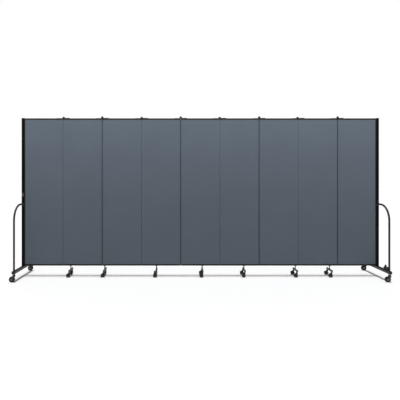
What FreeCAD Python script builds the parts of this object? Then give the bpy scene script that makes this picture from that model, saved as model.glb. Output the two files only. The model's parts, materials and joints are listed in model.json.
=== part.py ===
"""Folding partition wall: nine hinged panels that stand on end bases and rolling feet.

Frame: +Z up from the floor, the front face towards -Y, +X to the right. The origin is on
the floor under the middle of the whole footprint. Sizes are millimetres.
"""

import FreeCAD, Part
import os
import re

import Sketcher

PANELS = 9
MIDDLE = 5

DIMENSIONS = {
    # the row of panels
    "wallCentre": 21.25,  # the trailing end casters reach further left than right
    "pitch": 560.0,
    "jointGap": 3.0,
    "floorGap": 150.0,
    "wallTop": 2254.0,
    "railHeight": 22.0,
    "railDepth": 32.0,
    "boardDepth": 30.0,
    # end posts
    "postOuter": 2550.0,
    "postWidth": 42.0,
    "postDepth": 38.0,
    "postRound": 4.0,
    "capHeight": 4.0,
    # panel hinges
    "barrelAxis": 19.75,
    "barrelRadius": 3.5,
    "pinRadius": 1.5,
    "runningGap": 0.06,
    "leafThick": 1.2,
    "leafInset": 0.5,
    "hingeInset": 20.0,
    "knuckleGap": 0.5,
    # plates and knob on top of a hinge
    "wingReach": 92.0,
    "wingWidth": 24.0,
    "wingThick": 3.0,
    "wingStart": 13.0,
    "wingLift": 0.4,
    "eyeRadius": 12.0,
    "neckReach": 24.0,
    "boltRadius": 4.0,
    "knobRadius": 16.0,
    "knobTop": 25.0,
    "knobRound": 3.0,
    # end bases
    "legCentre": 2529.0,
    "legWidth": 42.0,
    "legHalf": 355.0,
    "legLow": 110.0,
    "legHigh": 147.0,
    "braceCentre": 2537.0,
    "braceRadius": 12.7,
    "braceTop": 1030.0,
    "braceBend": 210.0,
    "braceOut": 307.0,
    "bracketDepth": 2.0,
    "bracketHalf": 20.0,
    "plateThick": 3.0,
    # end casters
    "endStem": 330.0,
    "endTrail": 26.0,
    "endWheel": 37.5,
    "endTyre": 12.0,
    "endHub": 13.0,
    "endAxle": 4.0,
    "endAxleReach": 19.0,
    "endStemRadius": 6.0,
    "endStemLow": 80.0,
    "forkRadius": 20.0,
    "forkLow": 82.0,
    "forkHigh": 100.0,
    "forkInner": 14.0,
    "forkPlate": 3.0,
    # feet, measured from the middle of their panel
    "footTwo": -172.0,
    "footThree": -246.0,
    "footFour": -66.0,
    "footFive": 30.0,
    "footSix": 66.0,
    "footSeven": 242.0,
    "footEight": 172.0,
    "columnRadius": 7.0,
    "footPlate": 20.0,
    "footPlateDeep": 14.0,
    "barHalfWidth": 11.0,
    "barHalf": 93.0,
    "barLow": 80.0,
    "barHigh": 100.0,
    # foot casters
    "footStem": 78.0,
    "stemRadius": 5.0,
    "stemLow": 58.0,
    "nutRadius": 8.5,
    "nutHeight": 8.0,
    "collarRadius": 12.0,
    "collarHeight": 6.0,
    "neckRadius": 11.0,
    "neckLow": 50.5,
    "neckHigh": 73.6,
    "footTrail": 18.0,
    "footWheel": 25.0,
    "wheelRound": 2.5,
    "wheelInner": 4.5,
    "wheelOuter": 17.5,
    "axleRadius": 3.0,
    "hoodInner": 26.2,
    "hoodOuter": 28.5,
    "hoodHalf": 18.0,
    "hoodStart": 4.0,
    "webHalf": 3.5,
    "webRadius": 22.0,
    # latch, catch and locking knob
    "latchHeight": 1164.0,
    "latchHalfWidth": 18.0,
    "latchHalfTall": 33.0,
    "latchThick": 3.0,
    "turnRadius": 14.0,
    "turnDepth": 8.0,
    "turnGap": 0.4,
    "turnBarHalf": 3.0,
    "spindleRadius": 5.0,
    "catchLow": 1065.0,
    "catchHigh": 1085.0,
    "catchHalf": 11.0,
    "catchDepth": 6.0,
    "lockOffset": 216.0,
    "lockRadius": 12.0,
    "lockTall": 22.0,
    "lockHalf": 11.0,
    "lockStart": 178.0,
    "lockReach": 293.5,
    "lockRise": 40.0,
}

FEET = {
    2: "footTwo",
    3: "footThree",
    4: "footFour",
    5: "footFive",
    6: "footSix",
    7: "footSeven",
    8: "footEight",
}

doc = FreeCAD.newDocument("PartitionWall")
dims = doc.addObject("Spreadsheet::Sheet", "dims")
for row, (alias, value) in enumerate(DIMENSIONS.items(), start=1):
    dims.set(f"A{row}", alias)
    dims.set(f"B{row}", str(value))
    dims.setAlias(f"B{row}", alias)
doc.recompute()

nodes = []


def bound(text):
    """An expression on the sheet, from one that names only its aliases."""
    return re.sub(r"[A-Za-z]\w*", lambda word: "dims." + word.group(), str(text))


def number(text):
    return float(dims.evalExpression(bound(text)))


def bind(thing, **sizes):
    for name, text in sizes.items():
        thing.setExpression(name, bound(text))
    return thing


def place(thing, x, y, z):
    for axis, text in zip("xyz", (x, y, z)):
        thing.setExpression(f"Placement.Base.{axis}", bound(text))
    return thing


# ---------------------------------------------------------------- simple pieces


def box(name, x, y, z):
    """A box between the low and high expressions of each axis."""
    piece = doc.addObject("Part::Box", name)
    spans = [f"({high}) - ({low})" for low, high in (x, y, z)]
    bind(piece, Length=spans[0], Width=spans[1], Height=spans[2])
    return place(piece, x[0], y[0], z[0])


TURNS = {
    "Z": FreeCAD.Rotation(),
    "Y": FreeCAD.Rotation(FreeCAD.Vector(1, 0, 0), -90),
    "X": FreeCAD.Rotation(FreeCAD.Vector(0, 1, 0), 90),
}


def rod(name, radius, axis, start, length):
    """A cylinder that starts at a point and runs along an axis."""
    piece = doc.addObject("Part::Cylinder", name)
    piece.Placement = FreeCAD.Placement(FreeCAD.Vector(), TURNS[axis])
    bind(piece, Radius=radius, Height=length)
    return place(piece, *start)


def join(name, pieces):
    piece = doc.addObject("Part::MultiFuse", name)
    piece.Shapes = pieces
    return piece


def cut(name, base, tool):
    piece = doc.addObject("Part::Cut", name)
    piece.Base = base
    piece.Tool = tool
    return piece


def overlap(name, pieces):
    piece = doc.addObject("Part::MultiCommon", name)
    piece.Shapes = pieces
    return piece


def node(label, pieces, at=("0", "0", "0")):
    """A named sub-part made of separate solids, at its place in the wall."""
    group = doc.addObject("Part::Compound", "node_" + label)
    group.Links = pieces
    group.Label = label
    place(group, *at)
    nodes.append(group)
    return group


# ---------------------------------------------------------------- sketched bodies


def sketch_outline(body, plane, points):
    """A closed outline on an origin plane; each corner is bound to two expressions."""
    sketch = body.newObject("Sketcher::SketchObject", body.Name + "_outline")
    support = next(part for part in body.Origin.OriginFeatures if part.Role == plane)
    sketch.AttachmentSupport = [(support, "")]
    sketch.MapMode = "FlatFace"
    corners = [FreeCAD.Vector(number(x), number(y), 0) for x, y in points]
    count = len(points)
    for index in range(count):
        sketch.addGeometry(Part.LineSegment(corners[index], corners[(index + 1) % count]), False)
    for index in range(count):
        sketch.addConstraint(Sketcher.Constraint("Coincident", index, 2, (index + 1) % count, 1))
    for index, point in enumerate(points):
        for kind, text in zip(("DistanceX", "DistanceY"), point):
            size = Sketcher.Constraint(kind, -1, 1, index, 1, number(text))
            sketch.setExpression(f"Constraints[{sketch.addConstraint(size)}]", bound(text))
    return sketch


def rectangle(half_width, half_height):
    low_x, low_y = f"-({half_width})", f"-({half_height})"
    return [(low_x, low_y), (half_width, low_y), (half_width, half_height), (low_x, half_height)]


def padded(name, plane, points, length, symmetric=False):
    """A body made by padding one outline."""
    body = doc.addObject("PartDesign::Body", name)
    sketch = sketch_outline(body, plane, points)
    pad = body.newObject("PartDesign::Pad", name + "_pad")
    pad.Profile = (sketch, [""])
    pad.SideType = "Symmetric" if symmetric else "One side"
    bind(pad, Length=length)
    doc.recompute()
    return body


def turned(name, plane, points, axis):
    """A body made by turning one outline about a sketch axis."""
    body = doc.addObject("PartDesign::Body", name)
    sketch = sketch_outline(body, plane, points)
    turn = body.newObject("PartDesign::Revolution", name + "_turn")
    turn.Profile = (sketch, [""])
    turn.ReferenceAxis = (sketch, [axis])
    turn.Angle = 360.0
    doc.recompute()
    return body


def rounded(body, radius, choose):
    """Fillets the tip's edges that the choose function accepts."""
    tip = body.Tip
    edges = [f"Edge{n}" for n, edge in enumerate(tip.Shape.Edges, start=1) if choose(edge)]
    fillet = body.newObject("PartDesign::Fillet", body.Name + "_fillet")
    fillet.Base = (tip, edges)
    bind(fillet, Radius=radius)
    body.Tip = fillet
    doc.recompute()
    return body


def runs_along(axis):
    """Accepts straight edges that run along an axis."""

    def choose(edge):
        ends = edge.Vertexes
        if len(ends) < 2 or not isinstance(edge.Curve, Part.Line):
            return False
        step = ends[1].Point - ends[0].Point
        return abs(abs(step.normalize().dot(axis)) - 1) < 1e-6

    return choose


def has_radius(radius):
    """Accepts round edges of one radius."""

    def choose(edge):
        return isinstance(edge.Curve, Part.Circle) and abs(edge.Curve.Radius - radius) < 1e-6

    return choose


# ---------------------------------------------------------------- where things are


def hinge_x(hinge):
    """The hinge line to the right of a panel, counted from the left end."""
    return f"wallCentre + pitch*({hinge - PANELS / 2})"


def panel_x(panel):
    return f"wallCentre + pitch*({panel - MIDDLE})"


def hinge_side(hinge):
    """-1 where the barrel is on the front face and 1 where it is on the rear face."""
    return -1 if hinge % 2 == 0 else 1


def span(middle, half):
    return f"{middle} - {half}", f"{middle} + {half}"


def edges_of(panel):
    """The panel's left and right edges: an end panel reaches the inner face of its post."""
    left = f"{hinge_x(panel - 1)} + jointGap/2"
    right = f"{hinge_x(panel)} - jointGap/2"
    if panel == 1:
        left = "wallCentre - postOuter + postWidth"
    if panel == PANELS:
        right = "wallCentre + postOuter - postWidth"
    return left, right


# ---------------------------------------------------------------- panel


def board(panel):
    """The fabric-covered board between the two rails."""
    body = padded(
        f"board_{panel}",
        "XY_Plane",
        [
            (f"({edges_of(panel)[0]})", "-boardDepth/2"),
            (f"({edges_of(panel)[1]})", "-boardDepth/2"),
            (f"({edges_of(panel)[1]})", "boardDepth/2"),
            (f"({edges_of(panel)[0]})", "boardDepth/2"),
        ],
        "wallTop - floorGap - 2*railHeight",
    )
    node(f"panel_{panel}_board", [body], ("0", "0", "floorGap + railHeight"))


def leaf(hinge, side_of_hinge):
    """One hinge leaf: a thin plate down the panel's edge and its knuckles.

    The left leaf (-1) holds the pin and three knuckles, the right leaf (1) the two between.
    """
    name = f"leaf_{hinge}_{'left' if side_of_hinge < 0 else 'right'}"
    face = hinge_side(hinge)
    centre = hinge_x(hinge)
    outer, inner = "jointGap/2", "(jointGap/2 - leafThick)"
    if side_of_hinge < 0:
        thin = (f"{centre} - {outer}", f"{centre} - {inner}")
    else:
        thin = (f"{centre} + {inner}", f"{centre} + {outer}")
    axis_y = f"{face}*barrelAxis"
    low, tall = "(floorGap + hingeInset)", "(wallTop - floorGap - 2*hingeInset)"
    plate = box(name + "_plate", thin, span("0", "(railDepth/2 - leafInset)"), (low, f"{low} + {tall}"))
    pieces = [plate]
    for knuckle in range(5):
        if (knuckle % 2 == 0) != (side_of_hinge < 0):
            continue
        start = f"{low} + {tall}*{knuckle}/5 + knuckleGap/2"
        length = f"{tall}/5 - knuckleGap"
        barrel = rod(f"{name}_knuckle_{knuckle}", "barrelRadius", "Z", (centre, axis_y, start), length)
        near, far = ("0", axis_y) if face > 0 else (axis_y, "0")
        web = box(f"{name}_web_{knuckle}", thin, (near, far), (start, f"{start} + {length}"))
        pieces += [barrel, web]
    if side_of_hinge < 0:
        pieces.append(rod(name + "_pin", "pinRadius", "Z", (centre, axis_y, low), tall))
        return join(name, pieces)
    bore = rod(name + "_bore", "pinRadius + runningGap", "Z", (centre, axis_y, low), tall)
    return cut(name, join(name + "_blank", pieces), bore)


def wing(hinge, side_of_hinge):
    """One of the two plates that lie on the top rails and pivot about the hinge line.

    The left plate lies low and turns about the bolt; the right plate carries bolt and knob.
    """
    left = side_of_hinge < 0
    name = f"wing_{hinge}_{'left' if left else 'right'}"
    centre = hinge_x(hinge)
    axis_y = f"{hinge_side(hinge)}*barrelAxis"
    low = "wallTop + wingLift" if left else "wallTop + 2*wingLift + wingThick"
    levels = (low, f"{low} + wingThick")

    def along(start, reach):
        """The X span from start to reach, measured away from the hinge line."""
        if left:
            return f"{centre} - {reach}", f"{centre} - {start}"
        return f"{centre} + {start}", f"{centre} + {reach}"

    across = ("0", axis_y) if hinge_side(hinge) > 0 else (axis_y, "0")
    plate = box(name + "_plate", along("jointGap/2", "wingReach"), span("0", "wingWidth/2"), levels)
    neck = box(name + "_neck", along("jointGap/2", "neckReach"), across, levels)
    pad = box(name + "_pad", along("wingStart", "wingReach"), span("0", "wingWidth/2"), ("wallTop", levels[1]))
    eye = rod(name + "_eye", "eyeRadius", "Z", (centre, axis_y, low), "wingThick")
    if left:
        bore = rod(name + "_bore", "boltRadius + runningGap", "Z", (centre, axis_y, low), "wingThick")
        return cut(name, join(name + "_blank", [plate, neck, pad, eye]), bore)
    bolt_low = "wallTop + wingLift"
    bolt = rod(name + "_bolt", "boltRadius", "Z", (centre, axis_y, bolt_low), "knobTop - wingLift")
    knob_low = f"({levels[1]} + wingLift)"
    knob = rod(name + "_knob", "knobRadius", "Z", (centre, axis_y, knob_low), f"wallTop + knobTop - {knob_low}")
    knob_neck = rod(name + "_knob_neck", "eyeRadius", "Z", (centre, axis_y, levels[1]), "wingLift")
    return join(name, [plate, neck, pad, eye, bolt, knob, knob_neck])


def foot(panel):
    """The column under the bottom rail, the cross bar and the two caster stems."""
    x = f"{panel_x(panel)} + {FEET[panel]}"
    name = f"foot_{panel}"
    pad = box(
        name + "_pad", span(x, "footPlate"), span("0", "footPlateDeep"), ("floorGap - plateThick", "floorGap")
    )
    tube = rod(name + "_tube", "columnRadius", "Z", (x, "0", "barHigh"), "floorGap - barHigh")
    column = join(name + "_column", [pad, tube])
    blank = box(name + "_blank", span(x, "barHalfWidth"), span("0", "barHalf"), ("barLow", "barHigh"))
    bores, stems = [], []
    for side in (-1, 1):
        at = f"{side}*footStem"
        tag = f"{name}_{'front' if side < 0 else 'rear'}"
        bores.append(rod(tag + "_bore", "stemRadius + runningGap", "Z", (x, at, "barLow"), "barHigh - barLow"))
        shank = rod(tag + "_shank", "stemRadius", "Z", (x, at, "stemLow"), "barHigh - stemLow")
        nut = doc.addObject("Part::Prism", tag + "_nut")
        nut.Polygon = 6
        bind(nut, Circumradius="nutRadius", Height="nutHeight")
        place(nut, x, at, "barHigh")
        collar = rod(tag + "_collar", "collarRadius", "Z", (x, at, "barLow - collarHeight"), "collarHeight")
        stems.append(join(tag + "_stem", [shank, nut, collar]))
    return [column, cut(name + "_bar", blank, join(name + "_bores", bores))] + stems


def panel_frame(panel):
    """Rails, hinge leaves, top plates and foot of one panel."""
    name = f"rail_{panel}"
    ends = edges_of(panel)
    across = span("0", "railDepth/2")
    pieces = [
        box(name + "_bottom", ends, across, ("floorGap", "floorGap + railHeight")),
        box(name + "_top", ends, across, ("wallTop - railHeight", "wallTop")),
    ]
    if panel > 1:
        pieces += [leaf(panel - 1, 1), wing(panel - 1, 1)]
    if panel < PANELS:
        pieces += [leaf(panel, -1), wing(panel, -1)]
    if panel in FEET:
        pieces += foot(panel)
    node(f"panel_{panel}_frame", pieces)


# ---------------------------------------------------------------- foot casters


def foot_caster(panel, side):
    """A hooded swivel body and its twin wheel, built about the stem and then placed."""
    where = "front" if side < 0 else "rear"
    tag = f"{panel}_{where}"
    at = (f"{panel_x(panel)} + {FEET[panel]}", f"{side}*footStem", "0")
    wheel_x = "-footTrail"

    def disc(part, radius, half):
        return rod(f"hood_{tag}_{part}", radius, "Y", (wheel_x, f"-{half}", "footWheel"), f"2*{half}")

    ring = cut(f"hood_{tag}_ring", disc("outer", "hoodOuter", "hoodHalf"), disc("inner", "hoodInner", "hoodHalf"))
    upper = box(
        f"hood_{tag}_upper",
        span(wheel_x, "hoodOuter"),
        span("0", "hoodHalf"),
        ("footWheel + hoodStart", "footWheel + hoodOuter"),
    )
    shell = overlap(f"hood_{tag}_shell", [ring, upper])
    web = disc("web", "webRadius", "webHalf")
    spine = box(
        f"hood_{tag}_spine", (wheel_x, "neckRadius/2"), span("0", "webHalf"), ("footWheel + hoodStart", "neckHigh")
    )
    neck = rod(f"hood_{tag}_neck", "neckRadius", "Z", ("0", "0", "neckLow"), "neckHigh - neckLow")
    axle_bore = disc("axle_bore", "(axleRadius + runningGap)", "webHalf")
    stem_bore = rod(
        f"hood_{tag}_stem_bore", "stemRadius + runningGap", "Z", ("0", "0", "stemLow - 1"), "neckHigh - stemLow + 1"
    )
    bores = join(f"hood_{tag}_bores", [axle_bore, stem_bore])
    blank = join(f"hood_{tag}_blank", [shell, web, spine, neck])
    node(f"caster_{tag}", [cut(f"hood_{tag}", blank, bores)], at)

    half_profile = [
        ("0", "-wheelOuter"),
        ("footWheel", "-wheelOuter"),
        ("footWheel", "-wheelInner"),
        ("axleRadius", "-wheelInner"),
        ("axleRadius", "wheelInner"),
        ("footWheel", "wheelInner"),
        ("footWheel", "wheelOuter"),
        ("0", "wheelOuter"),
    ]
    twin = turned(f"twin_wheel_{tag}", "XY_Plane", half_profile, "V_Axis")
    rounded(twin, "wheelRound", has_radius(number("footWheel")))
    node(f"wheel_{tag}", [twin], (f"{at[0]} - footTrail", at[1], "footWheel"))


# ---------------------------------------------------------------- end posts, bases and casters


def post_and_base(sign):
    """One end post, with its leg, its two bent braces and its caster stems."""
    end = "left" if sign < 0 else "right"
    post_x = f"(wallCentre + {sign}*(postOuter - postWidth/2))"
    leg_x = f"(wallCentre + {sign}*legCentre)"
    brace_x = f"(wallCentre + {sign}*braceCentre)"
    upright = FreeCAD.Vector(0, 0, 1)

    post = padded(f"post_{end}", "XY_Plane", rectangle("postWidth/2", "postDepth/2"), "wallTop - legHigh")
    rounded(post, "postRound", runs_along(upright))
    place(post, post_x, "0", "legHigh")
    cap = box(
        f"post_{end}_cap",
        span(post_x, "postWidth/2"),
        span("0", "postDepth/2"),
        ("wallTop", "wallTop + capHeight"),
    )
    post_pieces = [post, cap]
    if sign > 0:
        post_pieces.append(
            box(
                "post_catch",
                span(brace_x, "catchHalf"),
                ("-postDepth/2 - catchDepth", "-postDepth/2"),
                ("catchLow", "catchHigh"),
            )
        )
    node(f"end_post_{end}", post_pieces)

    leg = padded(
        f"leg_{end}", "XZ_Plane", rectangle("legWidth/2", "(legHigh - legLow)/2"), "2*legHalf", symmetric=True
    )
    rounded(leg, "postRound", runs_along(FreeCAD.Vector(0, 1, 0)))
    place(leg, leg_x, "0", "(legLow + legHigh)/2")
    pieces = [leg]
    for face in (-1, 1):
        pieces += [bracket(end, face, post_x), brace(end, face, brace_x), end_stem(end, face, leg_x)]
    if sign > 0:
        lock_seat = "(legHigh + lockRise)"
        pieces.append(
            box(
                "leg_lock_block",
                span(brace_x, "lockHalf"),
                ("-lockReach", "-lockStart"),
                ("legHigh", lock_seat),
            )
        )
        pieces.append(rod("leg_lock", "lockRadius", "Z", (brace_x, "-lockOffset", lock_seat), "lockTall"))
    node(f"end_base_{end}", pieces)
    for face in (-1, 1):
        end_caster(end, face, leg_x)


def side_name(face):
    return "front" if face < 0 else "rear"


def bracket(end, face, post_x):
    """The plate on the post's face that the brace starts from."""
    near, far = "postDepth/2", "postDepth/2 + bracketDepth"
    across = (near, far) if face > 0 else (f"-({far})", f"-({near})")
    heights = span("braceTop", "bracketHalf")
    return box(f"bracket_{end}_{side_name(face)}", span(post_x, "postWidth/2"), across, heights)


def brace(end, face, x):
    """A tube that leaves the post level, bends down and stands on the leg."""
    name = f"brace_{end}_{side_name(face)}"
    start = "(postDepth/2 + bracketDepth)"
    bend_y = "(braceOut - braceBend)"
    bend_z = "(braceTop - braceBend)"
    level_start = start if face > 0 else f"-{bend_y}"
    level = rod(name + "_level", "braceRadius", "Y", (x, level_start, "braceTop"), f"{bend_y} - {start}")
    down = rod(name + "_down", "braceRadius", "Z", (x, f"{face}*braceOut", "legHigh"), f"{bend_z} - legHigh")
    bend = doc.addObject("Part::Torus", name + "_bend")
    # the quarter ring stands in the YZ plane, from straight out to straight up
    outward, up = FreeCAD.Vector(0, face, 0), FreeCAD.Vector(0, 0, 1)
    upright = FreeCAD.Rotation(outward, up, FreeCAD.Vector(face, 0, 0), "XYZ")
    bend.Placement = FreeCAD.Placement(FreeCAD.Vector(), upright)
    bend.Angle3 = 90.0
    bind(bend, Radius1="braceBend", Radius2="braceRadius")
    place(bend, x, f"{face}*{bend_y}", bend_z)
    return join(name, [level, bend, down])


def end_stem(end, face, x):
    """The plate under the leg and the stem that the fork turns about."""
    name = f"end_stem_{end}_{side_name(face)}"
    y = f"{face}*endStem"
    pad = box(name + "_pad", span(x, "forkRadius*0.9"), span(y, "forkRadius"), ("legLow - plateThick", "legLow"))
    shank = rod(name + "_shank", "endStemRadius", "Z", (x, y, "endStemLow"), "legLow - endStemLow")
    return join(name, [pad, shank])


def end_caster(end, face, leg_x):
    """A swivel fork with its axle, and the wheel that turns on it."""
    where = side_name(face)
    tag = f"{end}_{where}"
    y = f"{face}*endStem"
    boss = rod(f"fork_{tag}_boss", "forkRadius", "Z", ("0", "0", "forkLow"), "forkHigh - forkLow")
    cheeks = []
    for side in (-1, 1):
        cheek = padded(
            f"fork_{tag}_cheek_{'front' if side < 0 else 'rear'}",
            "XZ_Plane",
            [
                ("-endTrail - forkRadius*0.55", "endWheel - forkRadius*0.5"),
                ("-endTrail + forkRadius*0.55", "endWheel - forkRadius*0.5"),
                ("forkRadius*0.7", "forkLow + forkPlate"),
                ("-forkRadius*0.7", "forkLow + forkPlate"),
            ],
            "forkPlate",
            symmetric=True,
        )
        place(cheek, "0", f"{side}*(forkInner + forkPlate/2)", "0")
        cheeks.append(cheek)
    axle = rod(
        f"fork_{tag}_axle", "endAxle", "Y", ("-endTrail", "-endAxleReach", "endWheel"), "2*endAxleReach"
    )
    bore = rod(f"fork_{tag}_bore", "endStemRadius + runningGap", "Z", ("0", "0", "forkLow"), "forkHigh - forkLow")
    fork = cut(f"fork_{tag}", join(f"fork_{tag}_blank", [boss, axle] + cheeks), bore)
    node(f"caster_{tag}", [fork], (leg_x, y, "0"))

    bore_radius = "endAxle + runningGap"
    shoulder = "endWheel*0.72"
    half_profile = [
        (bore_radius, "-endHub"),
        (shoulder, "-endHub"),
        (shoulder, "-endTyre"),
        ("endWheel", "-endTyre"),
        ("endWheel", "endTyre"),
        (shoulder, "endTyre"),
        (shoulder, "endHub"),
        (bore_radius, "endHub"),
    ]
    wheel = turned(f"end_wheel_{tag}", "XY_Plane", half_profile, "V_Axis")
    rounded(wheel, "wheelRound", has_radius(number("endWheel")))
    node(f"wheel_{tag}", [wheel], (f"{leg_x} - endTrail", y, "endWheel"))


# ---------------------------------------------------------------- latch


def latch():
    """The plate on the left post's front face and the round turn knob in it."""
    x = "(wallCentre - postOuter + postWidth/2)"
    face = "-postDepth/2"
    plate = box(
        "latch_blank",
        span(x, "latchHalfWidth"),
        (f"{face} - latchThick", face),
        span("latchHeight", "latchHalfTall"),
    )
    bore = rod("latch_bore", "spindleRadius + runningGap", "Y", (x, f"{face} - latchThick", "latchHeight"), "latchThick")
    node("latch_plate", [cut("latch_cover", plate, bore)])

    back = f"({face} - latchThick - turnGap)"
    dial = rod("turn_dial", "turnRadius", "Y", (x, f"{back} - turnDepth/2", "latchHeight"), "turnDepth/2")
    grip = box(
        "turn_grip",
        span(x, "turnBarHalf"),
        (f"{back} - turnDepth", back),
        span("latchHeight", "turnRadius*0.85"),
    )
    spindle = rod("turn_spindle", "spindleRadius", "Y", (x, back, "latchHeight"), "latchThick + turnGap/2")
    node("latch_knob", [join("turn_knob", [dial, grip, spindle])])


# ---------------------------------------------------------------- the whole wall

for panel in range(1, PANELS + 1):
    board(panel)
    panel_frame(panel)
for panel in FEET:
    for side in (-1, 1):
        foot_caster(panel, side)
for sign in (-1, 1):
    post_and_base(sign)
latch()
doc.recompute()

failed = [thing.Name for thing in doc.Objects if {"Invalid", "Error"} & set(thing.State)]
bad = [group.Label for group in nodes if group.Shape.isNull() or not group.Shape.isValid()]
if failed or bad:
    raise SystemExit(f"failed objects: {failed}; bad shapes: {bad}")

os.makedirs("parts", exist_ok=True)
for group in nodes:
    group.Shape.exportStep(f"parts/{group.Label}.step")
whole = Part.makeCompound([group.Shape for group in nodes]).optimalBoundingBox(False)
print(f"{len(nodes)} nodes, {sum(len(group.Shape.Solids) for group in nodes)} solids")
print(f"X {whole.XMin:.2f} {whole.XMax:.2f}  Y {whole.YMin:.2f} {whole.YMax:.2f}  Z {whole.ZMin:.2f} {whole.ZMax:.2f}")
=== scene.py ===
"""Looks of a folding partition wall: fabric panels, black rails, braced ends and rolling feet.

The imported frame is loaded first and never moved. Every class below makes one sub-assembly
in place, in metres, and hands its pieces to the body that carries them.
"""

import json
import logging
import math
from collections.abc import Callable, Iterable, Sequence
from dataclasses import dataclass, field
from enum import Enum

import bpy
from mathutils import Matrix, Vector


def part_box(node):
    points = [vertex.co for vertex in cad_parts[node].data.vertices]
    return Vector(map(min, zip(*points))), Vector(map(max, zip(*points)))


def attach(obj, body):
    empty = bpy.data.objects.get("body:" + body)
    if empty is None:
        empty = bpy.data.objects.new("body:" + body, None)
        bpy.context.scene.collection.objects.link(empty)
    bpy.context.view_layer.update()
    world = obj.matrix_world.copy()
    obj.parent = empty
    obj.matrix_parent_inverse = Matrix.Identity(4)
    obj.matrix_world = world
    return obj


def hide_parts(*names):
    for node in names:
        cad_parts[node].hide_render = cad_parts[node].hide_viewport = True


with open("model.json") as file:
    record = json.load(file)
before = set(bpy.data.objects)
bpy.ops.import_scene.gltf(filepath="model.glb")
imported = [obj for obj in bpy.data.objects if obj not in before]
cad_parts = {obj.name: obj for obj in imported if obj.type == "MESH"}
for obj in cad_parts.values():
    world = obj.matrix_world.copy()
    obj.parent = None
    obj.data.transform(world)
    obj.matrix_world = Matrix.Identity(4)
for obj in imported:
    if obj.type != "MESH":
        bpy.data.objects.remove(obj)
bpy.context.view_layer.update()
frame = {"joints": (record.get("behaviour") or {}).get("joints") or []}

log = logging.getLogger("partition_wall")

PANELS = 9
JOINTS = {joint["name"]: joint for joint in frame["joints"]}
MM = 0.001

RAIL_HEIGHT = 22 * MM
RAIL_DEPTH = 32 * MM
WALL_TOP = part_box("panel_5_board")[1].z + RAIL_HEIGHT
WALL_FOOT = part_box("panel_5_board")[0].z - RAIL_HEIGHT
WALL_CENTRE = sum(corner.x for name in ("left", "right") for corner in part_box(f"end_post_{name}")) / 4
POST_HALF_DEPTH = 19 * MM
TOUCH = 1e-6  # how close two places are when they count as the same


class Face(Enum):
    """The side of the wall a thing is on; the value is its direction along Y."""

    FRONT = -1
    REAR = 1

    @property
    def label(self) -> str:
        """The side's name as it stands in the names of nodes and pieces."""
        return self.name.lower()


class End(Enum):
    """The end of the wall; the value is its direction along X."""

    LEFT = -1
    RIGHT = 1

    @property
    def label(self) -> str:
        """The end's name as it stands in the names of nodes and pieces."""
        return self.name.lower()

    @property
    def body(self) -> str:
        """The CAD body that carries what is fixed to this end of the wall."""
        return f"panel_{1 if self is End.LEFT else PANELS}"


class Slot(Enum):
    """The record's material slots."""

    FABRIC = "panel_fabric"
    FRAME = "frame_black"
    BASE = "base_black"
    LATCH = "latch_black"
    LATCH_TURN = "latch_grey"
    CASTER_STEEL = "caster_steel"
    CASTER_BLACK = "caster_black"
    WHEEL_GREY = "wheel_grey"
    WHEEL_BLACK = "wheel_black"


# ------------------------------------------------------------------ shader groups


def put(tree: bpy.types.NodeTree, kind: str, values: dict | None = None, links: dict | None = None,
        **settings: object) -> bpy.types.Node:
    """Adds one shader node.

    Args:
        tree: the tree that takes the node.
        kind: the node's type name.
        values: input sockets and the constants they get.
        links: input sockets and the output sockets that feed them.
        settings: the node's own properties.

    Returns:
        The new node.
    """
    node = tree.nodes.new(kind)
    for name, value in settings.items():
        setattr(node, name, value)
    for socket, value in (values or {}).items():
        node.inputs[socket].default_value = value
    for socket, source in (links or {}).items():
        tree.links.new(source, node.inputs[socket])
    return node


def maths(tree: bpy.types.NodeTree, operation: str, *terms: object) -> bpy.types.NodeSocket:
    """Adds a Math node whose terms are numbers or sockets, and returns its output."""
    node = tree.nodes.new("ShaderNodeMath")
    node.operation = operation
    for index, term in enumerate(terms):
        if isinstance(term, bpy.types.NodeSocket):
            tree.links.new(term, node.inputs[index])
        else:
            node.inputs[index].default_value = term
    return node.outputs[0]


class ShaderGroup:
    """A shader node group with named sockets, built once and placed in many materials."""

    name = "group"
    takes: dict[str, tuple[str, object]] = {}
    gives: dict[str, str] = {}

    @classmethod
    def tree(cls) -> bpy.types.NodeTree:
        """Returns the group's tree, building it the first time."""
        known = bpy.data.node_groups.get(cls.name)
        if known:
            return known
        tree = bpy.data.node_groups.new(cls.name, "ShaderNodeTree")
        for socket, (kind, start) in cls.takes.items():
            made = tree.interface.new_socket(socket, in_out="INPUT", socket_type=kind)
            if start is not None:
                made.default_value = start
        for socket, kind in cls.gives.items():
            tree.interface.new_socket(socket, in_out="OUTPUT", socket_type=kind)
        inside = tree.nodes.new("NodeGroupInput")
        outside = tree.nodes.new("NodeGroupOutput")
        for socket, source in cls.wire(tree, inside).items():
            tree.links.new(source, outside.inputs[socket])
        return tree

    @classmethod
    def wire(cls, tree: bpy.types.NodeTree, inside: bpy.types.Node) -> dict[str, bpy.types.NodeSocket]:
        """Builds the group's nodes and returns the socket behind each output."""
        raise NotImplementedError

    @classmethod
    def place(cls, tree: bpy.types.NodeTree, values: dict | None = None, links: dict | None = None
              ) -> bpy.types.Node:
        """Places the group in a material's tree."""
        node = tree.nodes.new("ShaderNodeGroup")
        node.node_tree = cls.tree()
        for socket, value in (values or {}).items():
            node.inputs[socket].default_value = value
        for socket, source in (links or {}).items():
            tree.links.new(source, node.inputs[socket])
        return node


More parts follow.
